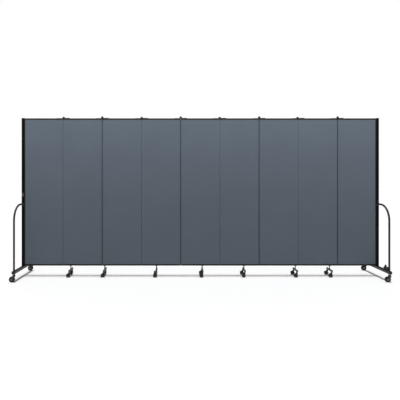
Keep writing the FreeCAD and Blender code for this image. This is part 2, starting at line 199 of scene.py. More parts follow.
class WovenCloth(ShaderGroup):
    """Plain weave: threads that pass over and under, with slubs and a soft drift of tone; its Thread mask
    also carries painted shade of the weave, dark in the hollows and light on the thread crowns.
    """

    name = "woven_cloth"
    takes = {
        "Place": ("NodeSocketVector", None),
        "Threads per metre": ("NodeSocketFloat", 700.0),
        "Slub": ("NodeSocketFloat", 0.4),
    }
    gives = {"Height": "NodeSocketFloat", "Thread": "NodeSocketFloat", "Drift": "NodeSocketFloat"}

    @classmethod
    def wire(cls, tree: bpy.types.NodeTree, inside: bpy.types.Node) -> dict[str, bpy.types.NodeSocket]:
        """Crosses a warp wave with a weft wave and stretches noise along each thread; the Thread output adds
        painted shade from the weave's height to the slubs.
        """
        split = put(tree, "ShaderNodeSeparateXYZ", links={0: inside.outputs["Place"]})
        turns = maths(tree, "MULTIPLY", inside.outputs["Threads per metre"], math.pi)
        warp = maths(tree, "SINE", maths(tree, "MULTIPLY", split.outputs["X"], turns))
        weft = maths(tree, "SINE", maths(tree, "MULTIPLY", split.outputs["Z"], turns))
        over = maths(tree, "GREATER_THAN", maths(tree, "MULTIPLY", warp, weft), 0.0)
        warp_top = maths(tree, "MULTIPLY", maths(tree, "ABSOLUTE", warp), over)
        under = maths(tree, "SUBTRACT", 1.0, over)
        weft_top = maths(tree, "MULTIPLY", maths(tree, "ABSOLUTE", weft), under)
        height = maths(tree, "ADD", warp_top, weft_top)
        streaks = []
        for stretch in ((420.0, 420.0, 14.0), (14.0, 420.0, 420.0)):
            mapped = put(tree, "ShaderNodeMapping", {"Scale": stretch},
                         {"Vector": inside.outputs["Place"]})
            noise = put(tree, "ShaderNodeTexNoise", {"Scale": 1.0, "Detail": 2.0, "Roughness": 0.6},
                        {"Vector": mapped.outputs[0]})
            streaks.append(noise.outputs["Fac"])
        streak = maths(tree, "MULTIPLY", maths(tree, "ADD", streaks[0], streaks[1]), 0.5)
        slub = maths(tree, "MULTIPLY", maths(tree, "SUBTRACT", streak, 0.5), inside.outputs["Slub"])
        # Thread: painted shade of the weave, darker where the threads dip and lighter on their crowns, plus
        # the yarn's own slubs
        thread = maths(tree, "ADD", maths(tree, "MULTIPLY", height, 0.35), maths(tree, "ADD", slub, 0.45))
        broad = put(tree, "ShaderNodeTexNoise", {"Scale": 2.2, "Detail": 3.0, "Roughness": 0.55},
                    {"Vector": inside.outputs["Place"]})
        return {"Height": maths(tree, "ADD", height, slub), "Thread": thread, "Drift": broad.outputs["Fac"]}


class FineGrain(ShaderGroup):
    """The orange-peel grain of paint or moulded plastic, and a slow change of tone."""

    name = "fine_grain"
    takes = {"Place": ("NodeSocketVector", None), "Grains per metre": ("NodeSocketFloat", 900.0)}
    gives = {"Height": "NodeSocketFloat", "Tone": "NodeSocketFloat"}

    @classmethod
    def wire(cls, tree: bpy.types.NodeTree, inside: bpy.types.Node) -> dict[str, bpy.types.NodeSocket]:
        """Mixes fine cells with noise for the height, and takes the tone from broad noise."""
        fine = put(tree, "ShaderNodeTexNoise", {"Detail": 3.0, "Roughness": 0.65},
                   {"Vector": inside.outputs["Place"], "Scale": inside.outputs["Grains per metre"]})
        cells = put(tree, "ShaderNodeTexVoronoi", {"Randomness": 1.0},
                    {"Vector": inside.outputs["Place"], "Scale": inside.outputs["Grains per metre"]})
        pits = maths(tree, "MULTIPLY", cells.outputs["Distance"], 0.5)
        height = maths(tree, "ADD", fine.outputs["Fac"], pits)
        tone = put(tree, "ShaderNodeTexNoise", {"Scale": 9.0, "Detail": 4.0, "Roughness": 0.6},
                   {"Vector": inside.outputs["Place"]})
        return {"Height": height, "Tone": tone.outputs["Fac"]}


class EdgeWear(ShaderGroup):
    """A broken mask along convex edges, where handling has rubbed the surface."""

    name = "edge_wear"
    takes = {"Place": ("NodeSocketVector", None), "Amount": ("NodeSocketFloat", 0.5)}
    gives = {"Mask": "NodeSocketFloat"}

    @classmethod
    def wire(cls, tree: bpy.types.NodeTree, inside: bpy.types.Node) -> dict[str, bpy.types.NodeSocket]:
        """Takes the sharp outward edges and breaks them up with noise."""
        shape = tree.nodes.new("ShaderNodeNewGeometry")
        edge = put(tree, "ShaderNodeMapRange", {"From Min": 0.54, "From Max": 0.66},
                   {"Value": shape.outputs["Pointiness"]})
        noise = put(tree, "ShaderNodeTexNoise", {"Scale": 60.0, "Detail": 5.0, "Roughness": 0.7},
                    {"Vector": inside.outputs["Place"]})
        broken = put(tree, "ShaderNodeMapRange", {"From Min": 0.42, "From Max": 0.62},
                     {"Value": noise.outputs["Fac"]})
        mask = maths(tree, "MULTIPLY", edge.outputs[0], broken.outputs[0])
        return {"Mask": maths(tree, "MULTIPLY", mask, inside.outputs["Amount"])}


class SettledDust(ShaderGroup):
    """Dust that settles on upward faces and gathers near the floor."""

    name = "settled_dust"
    takes = {
        "Place": ("NodeSocketVector", None),
        "Amount": ("NodeSocketFloat", 0.3),
        "Reach": ("NodeSocketFloat", 0.18),
    }
    gives = {"Mask": "NodeSocketFloat"}

    @classmethod
    def wire(cls, tree: bpy.types.NodeTree, inside: bpy.types.Node) -> dict[str, bpy.types.NodeSocket]:
        """Fades with height and grows with how far the face looks up."""
        split = put(tree, "ShaderNodeSeparateXYZ", links={0: inside.outputs["Place"]})
        height = maths(tree, "DIVIDE", split.outputs["Z"], inside.outputs["Reach"])
        near_floor = maths(tree, "MAXIMUM", maths(tree, "SUBTRACT", 1.0, height), 0.0)
        shape = tree.nodes.new("ShaderNodeNewGeometry")
        facing = put(tree, "ShaderNodeSeparateXYZ", links={0: shape.outputs["Normal"]})
        up = maths(tree, "MAXIMUM", facing.outputs["Z"], 0.0)
        noise = put(tree, "ShaderNodeTexNoise", {"Scale": 38.0, "Detail": 5.0, "Roughness": 0.65},
                    {"Vector": inside.outputs["Place"]})
        low_part, up_part = maths(tree, "MULTIPLY", near_floor, 0.7), maths(tree, "MULTIPLY", up, 0.5)
        amount = maths(tree, "ADD", low_part, up_part)
        mask = maths(tree, "MULTIPLY", amount, maths(tree, "MULTIPLY", noise.outputs["Fac"], 1.4))
        return {"Mask": maths(tree, "MULTIPLY", mask, inside.outputs["Amount"])}


# ------------------------------------------------------------------ finishes


Colour = tuple[float, float, float]

CLOTH_DUST: Colour = (0.4, 0.38, 0.35)
FLOOR_DUST: Colour = (0.3, 0.29, 0.27)


def mixed(tree: bpy.types.NodeTree, mask: bpy.types.NodeSocket, under: object, over: object
          ) -> bpy.types.NodeSocket:
    """Mixes two colours or colour sockets by a mask, and returns the mix."""
    node = put(tree, "ShaderNodeMix", links={0: mask}, data_type="RGBA")
    for socket, colour in ((node.inputs[6], under), (node.inputs[7], over)):
        if isinstance(colour, bpy.types.NodeSocket):
            tree.links.new(colour, socket)
        else:
            socket.default_value = (*colour, 1.0)
    return node.outputs[2]


def shaded(colour: Colour, factor: float) -> Colour:
    """A colour made lighter or darker by a factor."""
    red, green, blue = colour
    return red * factor, green * factor, blue * factor


@dataclass(frozen=True)
class Finish:
    """What every finish has: a name, a colour and how rough it is."""

    name: str
    colour: Colour
    roughness: float = 0.5

    def material(self) -> bpy.types.Material:
        """Returns the finish's material, building it the first time."""
        known = bpy.data.materials.get(self.name)
        if known:
            return known
        made = bpy.data.materials.new(self.name)
        made.use_nodes = True
        tree = made.node_tree
        tree.nodes.clear()
        shader = put(tree, "ShaderNodeBsdfPrincipled")
        put(tree, "ShaderNodeOutputMaterial", links={"Surface": shader.outputs[0]})
        place = tree.nodes.new("ShaderNodeTexCoord").outputs["Object"]
        self.wire(tree, shader, place)
        made.diffuse_color = (*self.colour, 1.0)
        return made

    def wire(self, tree: bpy.types.NodeTree, shader: bpy.types.Node, place: bpy.types.NodeSocket) -> None:
        """Feeds the shader's sockets from the finish's own nodes."""
        raise NotImplementedError


@dataclass(frozen=True)
class Cloth(Finish):
    """Stretched woven cloth, matt and slightly uneven in tone."""

    roughness: float = 0.92
    threads: float = 640.0
    slub: float = 0.55
    relief: float = 0.00022

    def wire(self, tree: bpy.types.NodeTree, shader: bpy.types.Node, place: bpy.types.NodeSocket) -> None:
        """Paints the weave's shade into the colour, darker in its hollows and lighter on the thread crowns,
        adds the slubs, and raises the threads by the weave.
        """
        counts = {"Threads per metre": self.threads, "Slub": self.slub}
        weave = WovenCloth.place(tree, counts, {"Place": place})
        # painted shade: the Thread mask darkens the weave's hollows to 0.72 and lightens the thread crowns
        # to 1.3 times the colour
        threads = mixed(tree, weave.outputs["Thread"], shaded(self.colour, 0.72), shaded(self.colour, 1.3))
        drift = put(tree, "ShaderNodeMapRange",
                    {"From Min": 0.3, "From Max": 0.7, "To Min": 0.0, "To Max": 0.22},
                    {"Value": weave.outputs["Drift"]})
        toned = mixed(tree, drift.outputs[0], threads, shaded(self.colour, 0.8))
        dust = SettledDust.place(tree, {"Amount": 0.05, "Reach": 0.6}, {"Place": place})
        tree.links.new(mixed(tree, dust.outputs["Mask"], toned, CLOTH_DUST), shader.inputs["Base Color"])
        bump = put(tree, "ShaderNodeBump", {"Strength": 0.55, "Distance": self.relief},
                   {"Height": weave.outputs["Height"]})
        tree.links.new(bump.outputs[0], shader.inputs["Normal"])
        shader.inputs["Roughness"].default_value = self.roughness
        shader.inputs["Sheen Weight"].default_value = 0.18
        shader.inputs["Sheen Roughness"].default_value = 0.5
        shader.inputs["Specular IOR Level"].default_value = 0.2


@dataclass(frozen=True)
class Coated(Finish):
    """Paint, powder coat, moulded plastic or rubber: a grain, rubbed edges and some dust."""

    roughness: float = 0.45
    worn: Colour = (0.16, 0.16, 0.165)
    wear: float = 0.35
    dust: float = 0.2
    grains: float = 900.0
    relief: float = 0.00008
    metallic: float = 0.0
    shine: float = 0.3

    def wire(self, tree: bpy.types.NodeTree, shader: bpy.types.Node, place: bpy.types.NodeSocket) -> None:
        """Layers tone, wear and dust on the colour and on the roughness."""
        grain = FineGrain.place(tree, {"Grains per metre": self.grains}, {"Place": place})
        wear = EdgeWear.place(tree, {"Amount": self.wear}, {"Place": place})
        dust = SettledDust.place(tree, {"Amount": self.dust}, {"Place": place})
        toned = mixed(tree, grain.outputs["Tone"], shaded(self.colour, 0.8), shaded(self.colour, 1.25))
        rubbed = mixed(tree, wear.outputs["Mask"], toned, self.worn)
        tree.links.new(mixed(tree, dust.outputs["Mask"], rubbed, FLOOR_DUST), shader.inputs["Base Color"])
        rough = put(tree, "ShaderNodeMapRange",
                    {"To Min": self.roughness - 0.07, "To Max": self.roughness + 0.09},
                    {"Value": grain.outputs["Tone"]})
        dusty = maths(tree, "ADD", rough.outputs[0], maths(tree, "MULTIPLY", dust.outputs["Mask"], 0.4))
        tree.links.new(maths(tree, "MINIMUM", dusty, 1.0), shader.inputs["Roughness"])
        bump = put(tree, "ShaderNodeBump", {"Strength": 0.4, "Distance": self.relief},
                   {"Height": grain.outputs["Height"]})
        tree.links.new(bump.outputs[0], shader.inputs["Normal"])
        shader.inputs["Metallic"].default_value = self.metallic
        shader.inputs["Specular IOR Level"].default_value = self.shine


SLATE_CLOTH = Cloth("slate_cloth", (0.1095, 0.1345, 0.165))
EDGE_CHANNEL = Coated("edge_channel", (0.03, 0.03, 0.032), 0.5, wear=0.2, dust=0.05)
RAIL_BLACK = Coated("rail_black", (0.014, 0.0135, 0.0145), 0.44, wear=0.12, dust=0.05, shine=0.22)
# painted shade: a bluish black for the dark band beside the posts, part panel edge and part shade of the gap
LIP_EDGE_AND_GAP_SHADE = Coated("lip_edge_and_gap_shade", (0.017, 0.0175, 0.02), 0.5, wear=0.03, dust=0.02)
POST_BLACK = Coated("post_black", (0.004, 0.004, 0.0045), 0.48, wear=0.05, dust=0.015, shine=0.06)
BASE_BLACK = Coated("base_black", (0.004, 0.004, 0.0045), 0.46, wear=0.1, dust=0.015, shine=0.07)
HINGE_BLACK = Coated("hinge_black", (0.03, 0.03, 0.032), 0.45, wear=0.12, dust=0.02, shine=0.2)
BLACK_PLASTIC = Coated(
    "black_plastic", (0.008, 0.008, 0.0085), 0.48, worn=(0.05, 0.05, 0.052), grains=1400.0
)
HOOD_PLASTIC = Coated("hood_plastic", (0.008, 0.008, 0.0085), 0.4, worn=(0.05, 0.05, 0.052), dust=0.08)
TYRE_RUBBER = Coated(
    "tyre_rubber", (0.009, 0.009, 0.0095), 0.7, worn=(0.04, 0.038, 0.036), dust=0.12, grains=600.0, shine=0.2
)
HUB_GREY = Coated("hub_grey", (0.16, 0.16, 0.165), 0.45, worn=(0.25, 0.25, 0.25), dust=0.1, grains=1400.0)
TURN_GREY = Coated(
    "turn_grey", (0.13, 0.13, 0.135), 0.42, worn=(0.2, 0.2, 0.2), wear=0.3, dust=0.03, grains=1400.0
)
ZINC = Coated("zinc_plate", (0.42, 0.43, 0.44), 0.34, worn=(0.6, 0.6, 0.6), dust=0.2, metallic=1.0)
FORK_STEEL = Coated(
    "fork_steel", (0.03, 0.03, 0.032), 0.35, worn=(0.25, 0.25, 0.25), dust=0.25, metallic=0.4
)


# ------------------------------------------------------------------ the modelling bench


Point = Sequence[float]
FaceTest = Callable[[Vector, Vector], bool]
EdgeTest = Callable[[Vector, Vector], bool]


def deselect() -> None:
    """Deselects every object."""
    bpy.ops.object.select_all(action="DESELECT")


class Shape:
    """One mesh on the bench, shaped by edit-mode operators and finished by modifiers."""

    def __init__(self, thing: bpy.types.Object) -> None:
        """Wraps a mesh object."""
        self.thing = thing

    @classmethod
    def fresh(cls) -> "Shape":
        """Wraps the primitive that was just added, with its place moved into its mesh."""
        bpy.ops.object.transform_apply(location=True, rotation=True, scale=True)
        return cls(bpy.context.object)

    @classmethod
    def block(cls, low: Point, high: Point) -> "Shape":
        """A block between its lowest and highest corners."""
        deselect()
        low, high = Vector(low), Vector(high)
        bpy.ops.mesh.primitive_cube_add(size=1.0, location=(low + high) / 2)
        bpy.context.object.scale = high - low
        return cls.fresh()

    @classmethod
    def rod(cls, start: Point, end: Point, radius: float, sides: int = 32) -> "Shape":
        """A round bar from one point to another."""
        deselect()
        start, end = Vector(start), Vector(end)
        run = end - start
        bpy.ops.mesh.primitive_cylinder_add(
            vertices=sides, radius=radius, depth=run.length, location=(start + end) / 2,
            rotation=run.to_track_quat("Z", "Y").to_euler(),
        )
        return cls.fresh()

    @classmethod
    def hoop(cls, centre: Point, axis: Point, radius: float, sides: int = 24) -> "Shape":
        """An open circle of edges, ready to be extruded into a tube."""
        deselect()
        bpy.ops.mesh.primitive_circle_add(
            vertices=sides, radius=radius, location=centre,
            rotation=Vector(axis).to_track_quat("Z", "Y").to_euler(),
        )
        return cls.fresh()

    def activate(self) -> None:
        """Makes this the only selected object and the active one."""
        deselect()
        self.thing.select_set(True)
        bpy.context.view_layer.objects.active = self.thing

    def edit(self, kind: str, chosen: Iterable[bool] | None, items: Iterable) -> None:
        """Enters edit mode on the chosen faces or edges, or on everything if chosen is None."""
        self.activate()
        bpy.ops.object.mode_set(mode="EDIT")
        bpy.ops.mesh.select_mode(type=kind)
        bpy.ops.mesh.select_all(action="SELECT" if chosen is None else "DESELECT")
        if chosen is not None:
            bpy.ops.object.mode_set(mode="OBJECT")
            for item, picked in zip(items, chosen):
                item.select = picked
            bpy.ops.object.mode_set(mode="EDIT")

    def faces(self, test: FaceTest) -> "Shape":
        """Enters edit mode on the faces whose centre and normal pass the test."""
        polygons = self.thing.data.polygons
        self.edit("FACE", [test(face.center, face.normal) for face in polygons], polygons)
        return self

    def facing(self, *ways: str) -> "Shape":
        """Enters edit mode on the faces that look one of the named ways, such as "+Z" or "-Y"."""
        wanted = [("XYZ".index(axis), float(f"{sign}1")) for sign, axis in ways]
        return self.faces(lambda centre, normal: any(normal[axis] * sign > 0.9 for axis, sign in wanted))

    def edges(self, test: EdgeTest) -> "Shape":
        """Enters edit mode on the edges whose two ends pass the test."""
        mesh = self.thing.data
        ends = [[mesh.vertices[index].co for index in edge.vertices] for edge in mesh.edges]
        self.edit("EDGE", [test(*pair) for pair in ends], mesh.edges)
        return self

    def everything(self) -> "Shape":
        """Enters edit mode with the whole mesh selected."""
        self.edit("VERT", None, ())
        return self

    def done(self) -> "Shape":
        """Leaves edit mode."""
        bpy.ops.object.mode_set(mode="OBJECT")
        return self

    def cut_away(self, test: FaceTest) -> "Shape":
        """Deletes the faces that pass the test."""
        self.faces(test)
        bpy.ops.mesh.delete(type="FACE")
        return self.done()

    def fluted(self, x: float, y: float, flutes: int, depth: float) -> "Shape":
        """Sinks every second side face of an upright rod, which leaves a grip with flutes.

        Args:
            x: where the rod's centre line is along X.
            y: where it is along Y.
            flutes: the number of grooves, half the number of the rod's sides.
            depth: how deep a groove is.

        Returns:
            The same shape.
        """
        turn = math.pi / flutes

        def on_flute(centre: Vector, normal: Vector) -> bool:
            """Whether a side face is one of the grooves of the grip."""
            angle = math.atan2(centre.y - y, centre.x - x)
            return abs(normal.z) < 0.1 and round(angle / turn - 0.5) % 2 == 0

        return self.faces(on_flute).inset(0.5 * MM, -depth).done()

    def extrude(self, move: Point) -> "Shape":
        """Extrudes the selection by a vector, and stays in edit mode."""
        bpy.ops.mesh.extrude_region_move(TRANSFORM_OT_translate={"value": tuple(move)})
        return self

    def inset(self, thickness: float, depth: float = 0.0, single: bool = True) -> "Shape":
        """Insets the selected faces, each on its own, and stays in edit mode."""
        bpy.ops.mesh.inset(thickness=thickness, depth=depth, use_individual=single)
        return self

    def resize(self, factors: Point, centre: Point) -> "Shape":
        """Scales the selection about a point, and stays in edit mode."""
        bpy.ops.transform.resize(value=tuple(factors), center_override=tuple(centre))
        return self

    def bevel(self, width: float, segments: int = 4) -> "Shape":
        """Bevels the selected edges, and leaves edit mode."""
        bpy.ops.mesh.bevel(offset_type="OFFSET", offset=width, segments=segments, affect="EDGES")
        return self.done()

    def modified(self, kind: str, **settings: object) -> "Shape":
        """Adds a modifier with the given settings and applies it."""
        self.activate()
        bpy.ops.object.modifier_add(type=kind)
        modifier = self.thing.modifiers[-1]
        for name, value in settings.items():
            setattr(modifier, name, value)
        bpy.ops.object.modifier_apply(modifier=modifier.name)
        return self

    def eased(self, width: float, segments: int = 2) -> "Shape":
        """Rounds every sharp edge a little."""
        return self.modified("BEVEL", width=width, segments=segments, limit_method="ANGLE",
                             angle_limit=math.radians(35), harden_normals=False)

    def outward(self) -> "Shape":
        """Turns every face outwards."""
        self.everything()
        bpy.ops.mesh.normals_make_consistent(inside=False)
        return self.done()

    def copied(self, move: Point = (0.0, 0.0, 0.0), mirrored: str = "") -> "Shape":
        """A copy with its own mesh, mirrored along the named axes and then moved.

        Args:
            move: how far the copy is moved.
            mirrored: the letters of the axes that it is turned round on.

        Returns:
            The copy.
        """
        thing = self.thing.copy()
        thing.data = self.thing.data.copy()
        bpy.context.scene.collection.objects.link(thing)
        flips = [-1.0 if axis in mirrored else 1.0 for axis in "XYZ"]
        thing.data.transform(Matrix.Translation(Vector(move)) @ Matrix.Diagonal((*flips, 1.0)))
        if len(mirrored) % 2:
            thing.data.flip_normals()
        return Shape(thing)

    def joined(self, *others: "Shape") -> "Shape":
        """Joins other shapes into this one."""
        self.activate()
        for other in others:
            other.thing.select_set(True)
        bpy.ops.object.join()
        return self

    def dressed(self, name: str, body: str, finish: Finish, slot: Slot, *stands_for: str) -> "Shape":
        """Names a finished piece, gives it its material and hands it to its body.

        Args:
            name: the piece's name.
            body: the CAD body that carries it.
            finish: the finish it wears.
            slot: the record's material slot that the finish belongs to; not used.
            stands_for: the CAD nodes that it replaces.

        Returns:
            The same shape.
        """
        self.activate()
        bpy.ops.object.shade_smooth_by_angle(angle=math.radians(32))
        self.thing.name = self.thing.data.name = name
        self.thing.data.materials.clear()
        self.thing.data.materials.append(finish.material())
        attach(self.thing, body)
        if stands_for:
            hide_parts(*stands_for)
        log.info("%s rides on %s", name, body)
        return self


class Pattern:
    """Shapes that are modelled once and copied to every place they are used."""

    masters: dict[str, Shape] = {}

    @classmethod
    def copy(cls, key: str, build: Callable[[], Shape], move: Point, mirrored: str = "") -> Shape:
        """Returns a copy of the named master, modelling it the first time."""
        if key not in cls.masters:
            cls.masters[key] = build()
        return cls.masters[key].copied(move, mirrored)

    @classmethod
    def clear(cls) -> None:
        """Removes the masters, which aren't part of the wall."""
        for master in cls.masters.values():
            bpy.data.objects.remove(master.thing)
        cls.masters.clear()


def screw(head: Point, outward: Point, radius: float, height: float) -> Shape:
    """A pan-head screw with a round recess for its drive, seen from outside.

    Args:
        head: the centre of the head's seat.
        outward: the direction that the head faces.
        radius: the head's radius.
        height: how far the head stands out.

    Returns:
        The screw head.
    """
    out = Vector(outward).normalized()
    seat = Vector(head)
    dome = Shape.rod(seat, seat + out * height, radius, 16)
    dome.faces(lambda centre, normal: normal.dot(out) > 0.9).inset(radius * 0.35, height * 0.2)
    dome.inset(radius * 0.25).extrude(-out * height * 0.45)
    return dome.done()


def screws(heads: Sequence[Point], outward: Point, radius: float, height: float) -> Shape:
    """A set of equal screws that face the same way, as one shape."""
    first, *others = [screw(head, outward, radius, height) for head in heads]
    return first.joined(*others)


# ------------------------------------------------------------------ panels


@dataclass
class Panel:
    """One fabric-covered panel with its two rails.

    The cloth is one sheet on each face, turned back round the board's edges.
    """

    index: int
    turn_back: float = 12 * MM
    cloth_thick: float = 0.8 * MM
    proud: float = 1.0 * MM
    soft_edge: float = 2.5 * MM
    side_gap: float = 1.0 * MM
    rail_groove: float = 4.5 * MM
    low: Vector = field(init=False)
    high: Vector = field(init=False)

    def __post_init__(self) -> None:
        """Reads the board's place from the frame."""
        self.low, self.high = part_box(f"panel_{self.index}_board")

    @property
    def body(self) -> str:
        """The CAD body that carries the panel."""
        return f"panel_{self.index}"

    def build(self) -> None:
        """Models the core, the cloth on both faces and the rails."""
        self.core()
        for face in Face:
            self.cloth(face)
        self.rail("bottom", self.low.z - RAIL_HEIGHT, self.low.z)
        self.rail("top", self.high.z, self.high.z + RAIL_HEIGHT)

    def core(self) -> None:
        """The board inside the cloth, with an edge channel let into each side."""
        inset = self.side_gap
        board = Shape.block(self.low + Vector((inset, inset, 0)), self.high - Vector((inset, inset, 0)))
        board.facing("+X", "-X").inset(5 * MM)
        board.inset(1 * MM, -2 * MM).done().eased(0.6 * MM)
        stands_for = f"panel_{self.index}_board"
        board.dressed(f"board_{self.index}", self.body, EDGE_CHANNEL, Slot.FABRIC, stands_for)

    def cloth(self, face: Face) -> None:
        """One sheet of cloth, stretched over a face and turned back on all four edges."""
        front = (self.high.y + self.proud) * face.value
        back = front - face.value * self.turn_back
        low = Vector((self.low.x, min(front, back), self.low.z))
        high = Vector((self.high.x, max(front, back), self.high.z))
        sheet = Shape.block(low, high).cut_away(lambda centre, normal: normal.y * face.value < -0.9)
        sheet.edges(lambda a, b: abs(a.y - front) < TOUCH and abs(b.y - front) < TOUCH)
        sheet.bevel(self.soft_edge, 3)
        sheet.faces(lambda centre, normal: normal.y * face.value > 0.99 and abs(centre.y - front) < TOUCH)
        sheet.inset(14 * MM).inset(26 * MM, 0.5 * MM).done()
        sheet.modified("SOLIDIFY", thickness=self.cloth_thick, offset=-1.0)
        sheet.dressed(f"cloth_{self.index}_{face.label}", self.body, SLATE_CLOTH, Slot.FABRIC)

    def rail(self, where: str, low_z: float, high_z: float) -> None:
        """One black rail: a channel with a shallow groove along both faces."""
        depth = RAIL_DEPTH / 2
        rail = Shape.block((self.low.x, -depth, low_z), (self.high.x, depth, high_z))
        rail.facing("+Y", "-Y").inset(self.rail_groove, 0.0)
        rail.inset(0.8 * MM, -0.9 * MM).done()
        rail.eased(1.4 * MM, 3)
        stands_for = [f"panel_{self.index}_frame"] if where == "top" else []
        rail.dressed(f"rail_{self.index}_{where}", self.body, RAIL_BLACK, Slot.FRAME, *stands_for)


# ------------------------------------------------------------------ panel hinges


@dataclass
class PianoHinge:
    """A hinge as tall as the panels: two thin leaves in the gap, knuckles and a pin."""

    index: int
    knuckles: int = 41
    barrel: float = 3.5 * MM
    pin: float = 1.5 * MM
    gap: float = 3 * MM
    leaf: float = 1.2 * MM
    end_inset: float = 20 * MM
    knuckle_gap: float = 0.5 * MM

    @property
    def axis(self) -> Vector:
        """A point on the hinge line."""
        return Vector(JOINTS[f"hinge_{self.index}"]["pos_m"])

    @property
    def face(self) -> Face:
        """The side of the wall that the barrel is on."""
        return Face.FRONT if self.axis.y < 0 else Face.REAR

    def build(self) -> None:
        """Models both leaves and the pin."""
        for end in End:
            panel = self.index if end is End.LEFT else self.index + 1
            key = f"leaf_{end.name}_{self.face.name}"
            leaf = Pattern.copy(key, lambda end=end: self.leaf_at_origin(end), (self.axis.x, 0, 0))
            leaf.dressed(f"hinge_leaf_{self.index}_{end.label}", f"panel_{panel}", HINGE_BLACK, Slot.FRAME)
        pin = Pattern.copy(f"pin_{self.face.name}", self.pin_at_origin, (self.axis.x, 0, 0))
        pin.dressed(f"hinge_pin_{self.index}", f"panel_{self.index}", ZINC, Slot.FRAME)

    def leaf_at_origin(self, end: End) -> Shape:
        """One leaf: a long plate with every second knuckle rolled on its edge."""
        low, high = WALL_FOOT + self.end_inset, WALL_TOP - self.end_inset
        inner, outer = end.value * (self.gap / 2 - self.leaf), end.value * self.gap / 2
        near, far = min(inner, outer), max(inner, outer)
        edge = RAIL_DEPTH / 2 - 0.5 * MM
        plate = Shape.block((near, -edge, low), (far, edge, high)).eased(0.25 * MM, 1)
        step = (high - low) / self.knuckles
        first = 0 if end is End.LEFT else 1
        start = low + first * step + self.knuckle_gap / 2
        stop = start + step - self.knuckle_gap
        y = self.axis.y
        barrel = Shape.rod((0, y, start), (0, y, stop), self.barrel, 16).eased(0.3 * MM, 1)
        shallow, deep = sorted((y, edge * self.face.value))
        root = Shape.block((near, shallow, start), (far, deep, stop))
        barrel.joined(root)
        count = (self.knuckles + 1) // 2 - first
        barrel.modified("ARRAY", count=count, use_relative_offset=False, use_constant_offset=True,
                        constant_offset_displace=(0, 0, 2 * step))
        return plate.joined(barrel)

    def pin_at_origin(self) -> Shape:
        """The pin through all the knuckles, with a rolled head at each end."""
        low, high = WALL_FOOT + self.end_inset, WALL_TOP - self.end_inset
        y = self.axis.y
        pin = Shape.rod((0, y, low - 1 * MM), (0, y, high + 1 * MM), self.pin, 12)
        heads = [
            Shape.rod((0, y, z), (0, y, z + 1.2 * MM), self.pin * 1.7, 16).eased(0.4 * MM)
            for z in (low - 1.6 * MM, high + 0.4 * MM)
        ]
        return pin.joined(*heads)


@dataclass
class TopPivot:
    """The two flat plates over a hinge and the round knob on their bolt."""

    index: int
    reach: float = 92 * MM
    width: float = 24 * MM
    thick: float = 3 * MM
    lift: float = 0.4 * MM
    eye: float = 12 * MM
    neck_reach: float = 24 * MM
    pad_start: float = 13 * MM
    gap_edge: float = 1.5 * MM
    screw_places: tuple[float, ...] = (34 * MM, 56 * MM, 78 * MM)
    knob_radius: float = 16 * MM
    knob_top: float = 25 * MM
    flutes: int = 20

    @property
    def axis(self) -> Vector:
        """A point on the hinge line."""
        return Vector(JOINTS[f"hinge_{self.index}"]["pos_m"])

    def build(self) -> None:
        """Models a plate for each panel, the bolt and the knob."""
        side = "front" if self.axis.y < 0 else "rear"
        move = (self.axis.x, 0, 0)
        for end in End:
            body = f"panel_{self.index if end is End.LEFT else self.index + 1}"
            tag = f"{self.index}_{end.label}"
            plate = Pattern.copy(f"wing_{end.name}_{side}", lambda end=end: self.plate_at_origin(end), move)
            plate.dressed(f"top_plate_{tag}", body, RAIL_BLACK, Slot.FRAME)
            heads = Pattern.copy(f"wing_screws_{end.name}", lambda end=end: self.screws_at_origin(end), move)
            heads.dressed(f"top_screws_{tag}", body, ZINC, Slot.FRAME)
        knob = Pattern.copy(f"knob_{side}", self.knob_at_origin, move)
        knob.dressed(f"top_knob_{self.index}", f"panel_{self.index + 1}", BLACK_PLASTIC, Slot.FRAME)

    def level(self, end: End) -> float:
        """The underside of a plate: the left one lies low and the right one above it."""
        return WALL_TOP + (self.lift if end is End.LEFT else 2 * self.lift + self.thick)

    def plate_at_origin(self, end: End) -> Shape:
        """A plate with a round far end, a neck out to the hinge line and an eye on it."""
        low, high = self.level(end), self.level(end) + self.thick
        y, tip = self.axis.y, self.reach * end.value
        half = self.width / 2
        near, far = sorted((self.pad_start * end.value, tip))
        plate = Shape.block((near, -half, WALL_TOP), (far, half, high))
        plate.edges(lambda a, b: max(abs(a.x - tip), abs(b.x - tip)) < TOUCH and abs(a.z - b.z) > TOUCH)
        plate.bevel(half * 0.7, 6)
        near, far = sorted((self.gap_edge * end.value, self.neck_reach * end.value))
        step = 0.05 * MM
        neck = Shape.block((near, min(-half, y) - step, low + step), (far, max(half, y), high - step))
        eye = Shape.rod((0, y, low + 2 * step), (0, y, high - 2 * step), self.eye, 40)
        for piece in (plate, neck, eye):
            piece.eased(0.7 * MM)
        return plate.joined(neck, eye)

    def screws_at_origin(self, end: End) -> Shape:
        """Three screws that hold a plate down on its rail."""
        top = self.level(end) + self.thick
        spots = [(end.value * x, 0, top) for x in self.screw_places]
        return screws(spots, (0, 0, 1), 3.2 * MM, 1.8 * MM)

    def knob_at_origin(self) -> Shape:
        """A fluted round knob with a domed cap, on a short collar."""
        y = self.axis.y
        low = self.level(End.RIGHT) + self.thick + self.lift
        top = WALL_TOP + self.knob_top
        knob = Shape.rod((0, y, low), (0, y, top - 3 * MM), self.knob_radius, 2 * self.flutes)
        knob.fluted(0.0, y, self.flutes, 1.0 * MM)
        knob.facing("+Z").inset(2.5 * MM, 2.2 * MM, False)
        knob.inset(4 * MM, 0.8 * MM, False).done()
        knob.eased(0.4 * MM, 1)
        collar = Shape.rod((0, y, low - self.lift), (0, y, low + 1 * MM), self.eye * 0.9, 24)
        bolt = Shape.rod((0, y, WALL_TOP + self.lift), (0, y, low), 4 * MM, 20)
        return knob.joined(collar, bolt)


# ------------------------------------------------------------------ rolling feet


